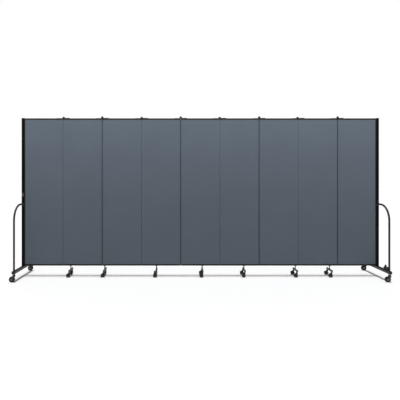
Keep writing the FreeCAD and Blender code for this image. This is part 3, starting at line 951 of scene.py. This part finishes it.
@dataclass
class RollingFoot:
    """The short column under a panel, its cross bar and the stems of two casters."""

    index: int
    plate: float = 20 * MM
    plate_deep: float = 14 * MM
    plate_thick: float = 3 * MM
    column: float = 7 * MM
    bar_low: float = 80 * MM
    bar_high: float = 100 * MM
    bar_width: float = 11 * MM
    bar_half: float = 93 * MM
    stem_reach: float = 78 * MM
    stem: float = 5 * MM
    stem_low: float = 58 * MM
    nut: float = 8.5 * MM
    nut_height: float = 6.5 * MM
    collar: float = 12 * MM

    @property
    def place(self) -> Vector:
        """The foot's centre on the floor."""
        front = JOINTS[f"swivel_{self.index}_front"]["pos_m"]
        return Vector((front[0], 0, 0))

    def build(self) -> None:
        """Models the column, the bar and both stems, and then the two casters."""
        body, move = f"panel_{self.index}", self.place
        column = Pattern.copy("foot_column", self.column_at_origin, move)
        column.dressed(f"foot_column_{self.index}", body, BASE_BLACK, Slot.FRAME)
        bar = Pattern.copy("foot_bar", self.bar_at_origin, move)
        bar.dressed(f"foot_bar_{self.index}", body, BASE_BLACK, Slot.FRAME)
        heads = Pattern.copy("foot_screws", self.screws_at_origin, move)
        heads.dressed(f"foot_screws_{self.index}", body, ZINC, Slot.FRAME)
        for face in Face:
            at = move + Vector((0, face.value * self.stem_reach, 0))
            stem = Pattern.copy("foot_stem", self.stem_at_origin, at)
            stem.dressed(f"foot_stem_{self.index}_{face.label}", body, ZINC, Slot.FRAME)
            TwinCaster(f"{self.index}_{face.label}", at).build()

    def column_at_origin(self) -> Shape:
        """A plate under the rail, a tube and a ring at each of its ends."""
        seat = WALL_FOOT - self.plate_thick
        plate = Shape.block((-self.plate, -self.plate_deep, seat), (self.plate, self.plate_deep, WALL_FOOT))
        plate.edges(lambda a, b: abs(a.z - b.z) > 1e-5).bevel(5 * MM, 4)
        tube = Shape.rod((0, 0, self.bar_high), (0, 0, seat), self.column, 28)
        rings = [
            Shape.rod((0, 0, z), (0, 0, z + 3 * MM), self.column * factor, 28)
            for z, factor in ((self.bar_high, 1.35), (seat - 3 * MM, 1.25))
        ]
        for piece in (plate, *rings):
            piece.eased(0.9 * MM)
        return plate.joined(tube, *rings)

    def bar_at_origin(self) -> Shape:
        """A square tube with rounded edges and a plug let into each end."""
        wide, reach = self.bar_width, self.bar_half
        bar = Shape.block((-wide, -reach, self.bar_low), (wide, reach, self.bar_high))
        bar.edges(lambda a, b: abs(a.y - b.y) > 1e-3).bevel(3 * MM, 3)
        bar.facing("+Y", "-Y").inset(1.8 * MM).inset(0.8 * MM, -1.5 * MM).done()
        return bar.eased(0.7 * MM)

    def screws_at_origin(self) -> Shape:
        """Four screws that hold the plate up into the rail, seen from below."""
        seat = WALL_FOOT - self.plate_thick
        spots = [(x * 14 * MM, y * 9 * MM, seat) for x in (-1, 1) for y in (-1, 1)]
        return screws(spots, (0, 0, -1), 2.6 * MM, 1.5 * MM)

    def stem_at_origin(self) -> Shape:
        """A stem with a hexagon nut above the bar and a race ring below it."""
        top = self.bar_high
        shank = Shape.rod((0, 0, self.stem_low), (0, 0, top + 7.4 * MM), self.stem, 20)
        shank.eased(0.8 * MM)
        nut = Shape.rod((0, 0, top + 1 * MM), (0, 0, top + self.nut_height), self.nut * 0.94, 6)
        nut.eased(0.9 * MM, 2)
        washer = Shape.rod((0, 0, top), (0, 0, top + 1.2 * MM), self.nut, 28).eased(0.3 * MM, 1)
        race = Shape.rod((0, 0, self.bar_low - 6 * MM), (0, 0, self.bar_low), self.collar, 32)
        race.facing("-Z").inset(2 * MM, -0.6 * MM).done()
        race.eased(0.8 * MM)
        low = top + self.nut_height + 0.1 * MM
        thread = Shape.rod((0, 0, low), (0, 0, low + 0.5 * MM), self.stem * 1.09, 20)
        return nut.joined(shank, washer, race, thread)


@dataclass
class TwinCaster:
    """A small hooded caster with a wheel on each side of its web."""

    tag: str
    at: Vector
    trail: float = 18 * MM
    radius: float = 25 * MM
    inner: float = 4.5 * MM
    outer: float = 17.5 * MM
    hood_radius: float = 28.5 * MM
    hood_half: float = 18 * MM
    hood_wall: float = 2.2 * MM
    hood_start: float = 4 * MM
    neck: float = 11 * MM
    neck_low: float = 50.5 * MM
    neck_high: float = 73.6 * MM
    web_half: float = 3.5 * MM

    def build(self) -> None:
        """Models the hood, the twin tyres and their hub caps."""
        caster, wheel = f"caster_{self.tag}", f"wheel_{self.tag}"
        hood = Pattern.copy("hood", self.hood_at_origin, self.at)
        hood.dressed(f"hood_{self.tag}", caster, HOOD_PLASTIC, Slot.CASTER_BLACK, caster)
        tyres = Pattern.copy("twin_tyres", self.tyres_at_origin, self.at)
        tyres.dressed(f"tyres_{self.tag}", wheel, TYRE_RUBBER, Slot.WHEEL_BLACK, wheel)
        hubs = Pattern.copy("twin_hubs", self.hubs_at_origin, self.at)
        hubs.dressed(f"hubs_{self.tag}", wheel, BLACK_PLASTIC, Slot.WHEEL_BLACK)

    def hood_at_origin(self) -> Shape:
        """A curved guard over both wheels, the web between them and the neck for the stem."""
        x, z = -self.trail, self.radius
        guard = Shape.rod((x, -self.hood_half, z), (x, self.hood_half, z), self.hood_radius, 56)
        guard.everything()
        bpy.ops.mesh.bisect(
            plane_co=(x, 0, z + self.hood_start), plane_no=(0.12, 0, 1), clear_inner=True, use_fill=False
        )
        guard.done().cut_away(lambda centre, normal: abs(normal.y) > 0.9)
        guard.modified("SOLIDIFY", thickness=self.hood_wall, offset=-1.0).eased(0.5 * MM)
        web, spine_top = self.web_half, self.neck_high - 3 * MM
        cheek = Shape.rod((x, -web, z), (x, web, z), self.radius * 0.9, 40).eased(0.8 * MM)
        spine = Shape.block((x, -web, z + self.hood_start), (self.neck * 0.5, web, spine_top))
        spine.eased(0.6 * MM)
        neck = Shape.rod((0, 0, self.neck_low), (0, 0, self.neck_high), self.neck, 36)
        neck.facing("-Z").resize((0.9, 0.9, 1), (0, 0, self.neck_low)).done()
        neck.facing("+Z").inset(2.2 * MM, -0.5 * MM).done()
        neck.eased(1.0 * MM)
        low, high = self.neck_low - 1.5 * MM, self.neck_low + 9 * MM
        ribs = [
            Shape.block((x * 0.55, y - 1 * MM, low), (0, y + 1 * MM, high)).eased(0.4 * MM, 1)
            for y in (-self.neck * 0.55, self.neck * 0.55)
        ]
        return guard.joined(cheek, spine, neck, *ribs)

    def tyres_at_origin(self) -> Shape:
        """Two tyres with rounded shoulders and a groove round each tread, and their axle."""
        x, z = -self.trail, self.radius
        tyres = []
        for side in (-1, 1):
            near, far = sorted((side * self.inner, side * self.outer))
            tyre = Shape.rod((x, near, z), (x, far, z), self.radius, 56)
            tyre.facing("+Y", "-Y").inset(6 * MM).inset(0.8 * MM, -1.6 * MM).done()
            tyres.append(tyre.eased(1.8 * MM, 3))
        axle = Shape.rod((x, -self.inner, z), (x, self.inner, z), 3 * MM, 20)
        return tyres[0].joined(tyres[1], axle)

    def hubs_at_origin(self) -> Shape:
        """A domed cap in the outer side of each wheel, with a ring and a centre button."""
        x, z = -self.trail, self.radius
        caps = []
        for side in (-1, 1):
            seat = side * (self.outer - 1.8 * MM)
            cap = Shape.rod((x, seat, z), (x, side * (self.outer - 0.6 * MM), z), self.radius * 0.71, 40)
            cap.faces(lambda centre, normal, side=side: normal.y * side > 0.9)
            cap.inset(3 * MM).inset(1 * MM, -0.8 * MM).inset(5 * MM, 0.3 * MM)
            cap.inset(0.8 * MM, 0.7 * MM).done()
            caps.append(cap.eased(0.25 * MM, 1))
        return caps[0].joined(caps[1])


# ------------------------------------------------------------------ end posts and bases


@dataclass
class EndPost:
    """The tall post at one end, its cap, its lips with painted gap shade and the catch on the right one."""

    end: End
    groove: float = 13 * MM
    groove_depth: float = 2.5 * MM
    cap_height: float = 4 * MM
    lip_width: float = 10 * MM
    lip_seat: float = 15.6 * MM
    lip_thick: float = 1.6 * MM

    def build(self) -> None:
        """Models the extrusion, its cap and lips, and the catch."""
        low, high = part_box(f"end_post_{self.end.label}")
        half = POST_HALF_DEPTH
        top = high.z - self.cap_height
        post = Shape.block((low.x, -half, low.z), (high.x, half, top))
        post.faces(lambda centre, normal: abs(normal.y) > 0.9 or normal.x * self.end.value > 0.9)
        post.inset(self.groove).inset(0.6 * MM, -self.groove_depth).done()
        post.eased(2.2 * MM, 3)
        stands_for = f"end_post_{self.end.label}"
        post.dressed(f"post_{self.end.label}", self.end.body, POST_BLACK, Slot.FRAME, stands_for)
        cap = Shape.block((low.x, -half, top), (high.x, half, top + self.cap_height))
        cap.facing("+Z").inset(5 * MM).inset(1.2 * MM, -0.7 * MM).done()
        cap.eased(1.3 * MM, 3)
        cap.dressed(f"post_cap_{self.end.label}", self.end.body, BLACK_PLASTIC, Slot.FRAME)
        self.lips(low.x if self.end is End.RIGHT else high.x)
        if self.end is End.RIGHT:
            self.catch((low.x + high.x) / 2)

    def lips(self, seam: float) -> None:
        """Two thin dark flanges over the cloth's edge where it meets the post: partly the panel's dark edge,
        partly painted shade of the gap beside the post.
        """
        inward = -self.end.value
        tip = seam + inward * self.lip_width
        for face in Face:
            near, far = sorted((face.value * self.lip_seat, face.value * (self.lip_seat + self.lip_thick)))
            left, right = sorted((seam - inward * 0.5 * MM, tip))
            # each lip is a dark sheet that paints the shade of the gap between the post and the cloth
            lip = Shape.block((left, near, WALL_FOOT), (right, far, WALL_TOP))
            out = face.value * (self.lip_seat + self.lip_thick)
            lip.edges(lambda a, b, out=out: all(abs(v.x - tip) + abs(v.y - out) < TOUCH for v in (a, b)))
            lip.bevel(1.1 * MM, 3)
            lip.eased(0.2 * MM, 1)
            lip.dressed(f"post_lip_{self.end.label}_{face.label}", self.end.body, LIP_EDGE_AND_GAP_SHADE, Slot.FRAME)

    def catch(self, x: float) -> None:
        """The small striker on the right post: a block with a lip and two screws."""
        face, depth = -POST_HALF_DEPTH, 6 * MM
        x += 8 * MM
        low_z, high_z, half = 1065 * MM, 1085 * MM, 11 * MM
        block = Shape.block((x - half, face - depth, low_z), (x + half, face, high_z))
        block.facing("-Y").inset(3 * MM, -2.5 * MM).done()
        block.eased(1.1 * MM, 2)
        block.dressed("catch_right", self.end.body, BLACK_PLASTIC, Slot.FRAME)
        spots = [(x, face - depth + 2.5 * MM, z) for z in (low_z + 6 * MM, high_z - 6 * MM)]
        heads = screws(spots, (0, -1, 0), 2.2 * MM, 1.4 * MM)
        heads.dressed("catch_screws", self.end.body, ZINC, Slot.FRAME)


@dataclass
class EndBase:
    """A cross leg with its plugs, two bent braces, their brackets and the caster plates."""

    end: End
    leg_half: float = 355 * MM
    leg_width: float = 42 * MM
    leg_low: float = 110 * MM
    leg_high: float = 147 * MM
    leg_reach: float = 2529 * MM
    brace_reach: float = 2537 * MM
    brace: float = 12.7 * MM
    brace_top: float = 1030 * MM
    bend: float = 210 * MM
    brace_out: float = 307 * MM
    bracket_depth: float = 2 * MM
    lock_offset: float = 216 * MM
    lock_radius: float = 12 * MM
    lock_tall: float = 22 * MM
    lock_half: float = 11 * MM
    lock_start: float = 178 * MM
    lock_reach: float = 293.5 * MM
    lock_rise: float = 40 * MM
    lock_slope: float = 22 * MM
    lock_flutes: int = 12
    stem_reach: float = 330 * MM

    @property
    def leg_x(self) -> float:
        """The leg's centre line."""
        return WALL_CENTRE + self.end.value * self.leg_reach

    @property
    def brace_x(self) -> float:
        """The braces' centre line."""
        return WALL_CENTRE + self.end.value * self.brace_reach

    def build(self) -> None:
        """Models the leg, the braces, the brackets, the plates and the casters."""
        self.leg()
        for face in Face:
            side = f"{self.end.label}_{face.label}"
            mirrored = "" if face is Face.REAR else "Y"
            brace = Pattern.copy("brace", self.brace_at_origin, (self.brace_x, 0, 0), mirrored)
            brace.dressed(f"brace_{side}", self.end.body, BASE_BLACK, Slot.BASE)
            bracket = Pattern.copy("bracket", self.bracket_at_origin, (self.post_x, 0, 0), mirrored)
            bracket.dressed(f"bracket_{side}", self.end.body, BASE_BLACK, Slot.BASE)
            bolts = Pattern.copy("bracket_bolts", self.bolts_at_origin, (self.post_x, 0, 0), mirrored)
            bolts.dressed(f"bracket_bolts_{side}", self.end.body, BASE_BLACK, Slot.BASE)
            at = Vector((self.leg_x, face.value * self.stem_reach, 0))
            plate = Pattern.copy("caster_plate", self.plate_at_origin, at)
            plate.dressed(f"caster_plate_{side}", self.end.body, ZINC, Slot.BASE)
            ForkCaster(side, at).build()
        if self.end is End.RIGHT:
            self.lock()

    @property
    def post_x(self) -> float:
        """The post's centre line."""
        low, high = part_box(f"end_post_{self.end.label}")
        return (low.x + high.x) / 2

    def leg(self) -> None:
        """The cross leg: a square tube with a plastic plug in each end."""
        half = self.leg_width / 2
        x = self.leg_x
        plug = 4 * MM
        reach = self.leg_half - plug
        leg = Shape.block((x - half, -reach, self.leg_low), (x + half, reach, self.leg_high))
        leg.edges(lambda a, b: abs(a.y - b.y) > 0.1).bevel(4.5 * MM, 5)
        leg.eased(0.5 * MM, 1)
        stands_for = f"end_base_{self.end.label}"
        leg.dressed(f"leg_{self.end.label}", self.end.body, BASE_BLACK, Slot.BASE, stands_for)
        for face in Face:
            near, far = sorted((face.value * self.leg_half, face.value * reach))
            cap = Shape.block((x - half, near, self.leg_low), (x + half, far, self.leg_high))
            cap.edges(lambda a, b: abs(a.y - b.y) > 1e-4).bevel(4.5 * MM, 5)
            cap.eased(1.2 * MM, 2)
            cap.faces(lambda centre, normal, face=face: normal.y * face.value > 0.99)
            cap.inset(2.2 * MM).inset(0.7 * MM, -0.8 * MM).done()
            name = f"leg_plug_{self.end.label}_{face.label}"
            cap.dressed(name, self.end.body, BLACK_PLASTIC, Slot.BASE)

    def brace_at_origin(self) -> Shape:
        """The rear brace: out from the post, round one large bend and down to the leg."""
        start = POST_HALF_DEPTH + self.bracket_depth
        bend_y, bend_z = self.brace_out - self.bend, self.brace_top - self.bend
        tube = Shape.hoop((0, start, self.brace_top), (0, 1, 0), self.brace, 28)
        tube.everything().extrude((0, bend_y - start, 0))
        bpy.ops.mesh.spin(steps=28, angle=math.pi / 2, center=(0, bend_y, bend_z), axis=(1, 0, 0))
        tube.extrude((0, 0, self.leg_high - bend_z)).done()
        tube.everything()
        bpy.ops.mesh.remove_doubles(threshold=1e-5)
        bpy.ops.mesh.fill_holes(sides=0)
        tube.done().outward()
        y, low = self.brace_out, self.leg_high
        shoe = Shape.rod((0, y, low), (0, y, low + 5 * MM), self.brace * 1.12, 32)
        return tube.joined(shoe.eased(1.2 * MM))

    def bracket_at_origin(self) -> Shape:
        """The rear bracket: a plate across the post, which the brace ends on."""
        near, far = POST_HALF_DEPTH, POST_HALF_DEPTH + self.bracket_depth
        low, high = self.brace_top - 20 * MM, self.brace_top + 20 * MM
        plate = Shape.block((-21 * MM, near, low), (21 * MM, far, high))
        plate.edges(lambda a, b: abs(a.y - b.y) > 1e-4).bevel(4 * MM, 4)
        return plate.eased(0.5 * MM, 2)

    def bolts_at_origin(self) -> Shape:
        """Four low bolt heads at the rear bracket's corners."""
        far = POST_HALF_DEPTH + self.bracket_depth
        spots = [(x * 16 * MM, far, self.brace_top + z * 14.5 * MM) for x in (-1, 1) for z in (-1, 1)]
        return screws(spots, (0, 1, 0), 2.6 * MM, 1.3 * MM)

    def plate_at_origin(self) -> Shape:
        """The plate under the leg, its two bolts and the stem that the fork turns about."""
        seat = self.leg_low - 3 * MM
        plate = Shape.block((-18 * MM, -20 * MM, seat), (18 * MM, 20 * MM, self.leg_low))
        plate.edges(lambda a, b: abs(a.z - b.z) > 1e-4).bevel(4 * MM, 4)
        plate.eased(0.5 * MM, 1)
        stem = Shape.rod((0, 0, 80 * MM), (0, 0, seat), 6 * MM, 28).eased(0.8 * MM)
        race = Shape.rod((0, 0, seat - 5 * MM), (0, 0, seat), 15 * MM, 36).eased(1.2 * MM, 3)
        heads = screws([(0, y * 17 * MM, seat) for y in (-1, 1)], (0, 0, -1), 2.2 * MM, 1.2 * MM)
        return plate.joined(stem, race, heads)

    def lock(self) -> None:
        """The lock on the right leg: a block that slopes at one end, and a fluted knob on it."""
        x, y = self.brace_x, -self.lock_offset
        half, radius = self.lock_half, self.lock_radius
        seat = self.leg_high + self.lock_rise
        top = seat + self.lock_tall
        block = Shape.block((x - half, -self.lock_reach, self.leg_high), (x + half, -self.lock_start, seat))
        block.edges(lambda a, b: min(a.y, b.y) > -self.lock_start - TOUCH and min(a.z, b.z) > seat - TOUCH)
        block.bevel(self.lock_slope, 1)
        block.facing("+X", "-X").inset(4 * MM).inset(0.8 * MM, -1.0 * MM).done()
        block.eased(1.2 * MM, 3).dressed("lock_block", self.end.body, BLACK_PLASTIC, Slot.BASE)
        collar = Shape.rod((x, y, seat), (x, y, seat + 5 * MM), radius * 0.85, 32).eased(0.8 * MM)
        grip = Shape.rod((x, y, seat + 4 * MM), (x, y, top - 2 * MM), radius, 2 * self.lock_flutes)
        grip.fluted(x, y, self.lock_flutes, 0.9 * MM)
        grip.facing("+Z").inset(2 * MM, 1.6 * MM, False).done()
        knob = collar.joined(grip.eased(0.4 * MM, 1))
        knob.dressed("lock_knob", self.end.body, BLACK_PLASTIC, Slot.BASE)


@dataclass
class ForkCaster:
    """A large caster: a steel fork under a race, an axle bolt, and a tyre on a grey hub."""

    tag: str
    at: Vector
    trail: float = 26 * MM
    radius: float = 37.5 * MM
    tyre_half: float = 12 * MM
    hub_half: float = 13 * MM
    boss: float = 20 * MM
    boss_low: float = 82 * MM
    boss_high: float = 100 * MM
    cheek_inner: float = 14 * MM
    cheek_thick: float = 3 * MM
    axle: float = 4 * MM

    def build(self) -> None:
        """Models the fork, the axle bolt, the tyre and the hub."""
        caster, wheel = f"caster_{self.tag}", f"wheel_{self.tag}"
        fork = Pattern.copy("fork", self.fork_at_origin, self.at)
        fork.dressed(f"fork_{self.tag}", caster, FORK_STEEL, Slot.CASTER_STEEL, caster)
        bolt = Pattern.copy("axle_bolt", self.bolt_at_origin, self.at)
        bolt.dressed(f"axle_bolt_{self.tag}", caster, ZINC, Slot.CASTER_STEEL)
        tyre = Pattern.copy("end_tyre", self.tyre_at_origin, self.at)
        tyre.dressed(f"tyre_{self.tag}", wheel, TYRE_RUBBER, Slot.WHEEL_GREY, wheel)
        hub = Pattern.copy("end_hub", self.hub_at_origin, self.at)
        hub.dressed(f"hub_{self.tag}", wheel, HUB_GREY, Slot.WHEEL_GREY)

    def fork_at_origin(self) -> Shape:
        """A stepped crown and two cheeks that lean back to the axle."""
        crown = Shape.rod((0, 0, self.boss_low), (0, 0, self.boss_high - 4 * MM), self.boss, 44)
        crown.facing("+Z").inset(4 * MM, 4 * MM, False).inset(5 * MM, 0.0, False)
        crown.done().eased(1.2 * MM, 3)
        cheeks = []
        for side in (-1, 1):
            near, far = sorted((side * self.cheek_inner, side * (self.cheek_inner + self.cheek_thick)))
            half, top = 14 * MM, self.boss_low + 3 * MM
            cheek = Shape.block((-half, near, top - 14 * MM), (half, far, top))
            cheek.facing("-Z")
            cheek.extrude((-self.trail * 0.55, 0, -18 * MM)).extrude((-self.trail * 0.45, 0, -14 * MM))
            cheek.resize((0.72, 1, 1), (-self.trail, 0, self.radius)).done()
            eye = Shape.rod((-self.trail, near, self.radius), (-self.trail, far, self.radius), 11 * MM, 36)
            cheeks += [cheek.eased(0.7 * MM), eye.eased(0.7 * MM)]
        return crown.joined(*cheeks)

    def bolt_at_origin(self) -> Shape:
        """The axle bolt with its head on one side and its nut on the other."""
        reach = self.cheek_inner + self.cheek_thick
        x, z = -self.trail, self.radius
        shank = Shape.rod((x, -reach, z), (x, reach, z), self.axle, 24)
        ends = [
            Shape.rod((x, side * reach, z), (x, side * (reach + 3.4 * MM), z), 6.4 * MM, 6).eased(0.7 * MM)
            for side in (-1, 1)
        ]
        return shank.joined(*ends)

    def tyre_at_origin(self) -> Shape:
        """A tyre with round shoulders and a step down to the hub."""
        x, z = -self.trail, self.radius
        tyre = Shape.rod((x, -self.tyre_half, z), (x, self.tyre_half, z), self.radius, 72)
        tyre.facing("+Y", "-Y").inset(8 * MM).inset(1.5 * MM, -2 * MM)
        tyre.inset(6 * MM).inset(1 * MM, 1.2 * MM).done()
        return tyre.eased(3 * MM, 4)

    def hub_at_origin(self) -> Shape:
        """A grey hub disc with a dished ring and a raised centre on each side."""
        x, z = -self.trail, self.radius
        hub = Shape.rod((x, -self.hub_half, z), (x, self.hub_half, z), self.radius * 0.5, 60)
        hub.facing("+Y", "-Y").inset(2.5 * MM).inset(1 * MM, -1.5 * MM)
        hub.inset(5 * MM).inset(1 * MM, 1.2 * MM).done()
        return hub.eased(0.4 * MM, 2)


# ------------------------------------------------------------------ latch


@dataclass
class Latch:
    """The cover plate on the left post and its round turn knob."""

    corner: float = 8 * MM
    thick: float = 3 * MM
    turn_radius: float = 14 * MM
    turn_gap: float = 0.4 * MM
    turn_depth: float = 8 * MM

    def build(self) -> None:
        """Models the plate, its screws and the knob."""
        low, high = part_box("latch_plate")
        plate = Shape.block(low, high)
        plate.edges(lambda a, b: abs(a.y - b.y) > 1e-4).bevel(self.corner, 6)
        plate.facing("-Y").inset(2 * MM).inset(0.8 * MM, -0.6 * MM).done()
        plate.eased(0.6 * MM, 2)
        plate.dressed("latch_cover", "panel_1", BLACK_PLASTIC, Slot.LATCH, "latch_plate")
        x = (low.x + high.x) / 2
        spots = [(x, low.y + 0.6 * MM, z) for z in (low.z + 9 * MM, high.z - 9 * MM)]
        heads = screws(spots, (0, -1, 0), 2.6 * MM, 1.4 * MM)
        heads.dressed("latch_screws", "panel_1", ZINC, Slot.LATCH)
        self.turn(Vector(JOINTS["latch_turn"]["pos_m"]))

    def turn(self, centre: Vector) -> None:
        """The turn knob: a dished disc with a raised bar to grip."""
        back = -POST_HALF_DEPTH - self.thick - self.turn_gap
        x, z = centre.x, centre.z
        disc = Shape.rod((x, back, z), (x, back - self.turn_depth / 2, z), self.turn_radius, 48)
        disc.facing("-Y").inset(2.2 * MM, 0.0, False)
        disc.inset(0.8 * MM, -0.8 * MM, False).done().eased(0.7 * MM, 2)
        grip_half = self.turn_radius * 0.85
        low, high = (x - 3 * MM, back - self.turn_depth, z - grip_half), (x + 3 * MM, back, z + grip_half)
        grip = Shape.block(low, high)
        grip.facing("-Y").resize((0.7, 1, 0.86), (x, 0, z)).done()
        grip.eased(1.0 * MM, 3)
        knob = disc.joined(grip)
        knob.dressed("latch_turn_knob", "latch_knob", TURN_GREY, Slot.LATCH_TURN, "latch_knob")


# ------------------------------------------------------------------ studio


@dataclass(frozen=True)
class SoftBox:
    """One large soft light."""

    name: str
    place: Point
    aim: Point
    size: tuple[float, float]
    power: float
    beam: float = math.radians(75)

    def build(self) -> None:
        """Adds the light and turns it towards its aim."""
        lamp = bpy.data.lights.new(self.name, "AREA")
        lamp.shape = "RECTANGLE"
        lamp.size, lamp.size_y = self.size
        lamp.energy = self.power
        lamp.spread = self.beam
        thing = bpy.data.objects.new(self.name, lamp)
        bpy.context.scene.collection.objects.link(thing)
        thing.location = self.place
        thing.rotation_euler = (Vector(self.aim) - Vector(self.place)).to_track_quat("-Z", "Y").to_euler()


@dataclass
class Studio:
    """A pale seamless floor, an even sky, one light straight above and a soft box on each side."""

    distance: float = 5.48
    eye_height: float = 1.396
    eye_side: float = -0.35
    lens: float = 34.44
    shift: tuple[float, float] = (0.0606, -0.054)
    floor_reach: float = 40.0
    sky: float = 0.24
    overhead: float = 2.72
    overhead_lean: float = math.radians(0.4)
    overhead_spread: float = math.radians(6)
    boxes: tuple[SoftBox, ...] = (
        SoftBox("front_box", (0.0, -2.6, 3.3), (0, 0, 2.6), (8.0, 0.8), 25.0),
        SoftBox("rear_box", (0.0, 2.6, 3.3), (0, 0, 2.6), (8.0, 0.8), 25.0),
    )

    def build(self) -> None:
        """Adds floor, world, lights and camera."""
        self.floor()
        self.world()
        self.sun()
        for light in self.boxes:
            light.build()
        self.camera()

    def floor(self) -> None:
        """A wide pale floor with a faint grain."""
        deselect()
        bpy.ops.mesh.primitive_plane_add(size=2 * self.floor_reach, location=(0, 0, 0))
        floor = bpy.context.object
        floor.name = "studio_floor"
        paper = bpy.data.materials.new("studio_paper")
        paper.use_nodes = True
        tree = paper.node_tree
        shader = tree.nodes["Principled BSDF"]
        place = tree.nodes.new("ShaderNodeTexCoord").outputs["Object"]
        grain = put(tree, "ShaderNodeTexNoise", {"Scale": 300.0, "Detail": 3.0}, {"Vector": place})
        tone = mixed(tree, grain.outputs["Fac"], (0.915, 0.915, 0.915), (0.945, 0.945, 0.945))
        tree.links.new(tone, shader.inputs["Base Color"])
        shader.inputs["Roughness"].default_value = 0.95
        shader.inputs["Specular IOR Level"].default_value = 0.1
        floor.data.materials.append(paper)

    def world(self) -> None:
        """An even white sky, which the camera sees as clear white."""
        world = bpy.data.worlds.new("studio_world")
        world.use_nodes = True
        tree = world.node_tree
        background = tree.nodes["Background"]
        background.inputs["Color"].default_value = (1, 1, 1, 1)
        seen = tree.nodes.new("ShaderNodeLightPath").outputs["Is Camera Ray"]
        strength = put(tree, "ShaderNodeMapRange", {"To Min": self.sky, "To Max": 1.0}, {"Value": seen})
        tree.links.new(strength.outputs[0], background.inputs["Strength"])
        bpy.context.scene.world = world
        bpy.context.scene.view_settings.view_transform = "Standard"

    def sun(self) -> None:
        """The light straight above the wall, which lays a narrow shadow under it."""
        lamp = bpy.data.lights.new("overhead", "SUN")
        lamp.energy = self.overhead
        lamp.angle = self.overhead_spread
        thing = bpy.data.objects.new("overhead", lamp)
        bpy.context.scene.collection.objects.link(thing)
        thing.location = (0, 0, 6)
        thing.rotation_euler = (self.overhead_lean, 0, 0)

    def camera(self) -> None:
        """The camera, level, in front of the wall and a little to its left."""
        lens = bpy.data.cameras.new("studio_camera")
        lens.lens = self.lens
        lens.sensor_width = 36.0
        lens.shift_x, lens.shift_y = self.shift
        lens.clip_end = 200.0
        eye = bpy.data.objects.new("studio_camera", lens)
        bpy.context.scene.collection.objects.link(eye)
        eye.location = (WALL_CENTRE + self.eye_side, -self.distance, self.eye_height)
        eye.rotation_euler = (math.pi / 2, 0, 0)
        bpy.context.scene.camera = eye


def main() -> None:
    """Builds every sub-assembly, then the studio."""
    logging.basicConfig(level=logging.INFO, format="%(name)s: %(message)s")
    for index in range(1, PANELS + 1):
        Panel(index).build()
    for index in range(1, PANELS):
        PianoHinge(index).build()
        TopPivot(index).build()
    for index in range(2, PANELS):
        RollingFoot(index).build()
    for end in End:
        EndPost(end).build()
        EndBase(end).build()
    Latch().build()
    Pattern.clear()
    Studio().build()


if __name__ == "__main__":
    main()
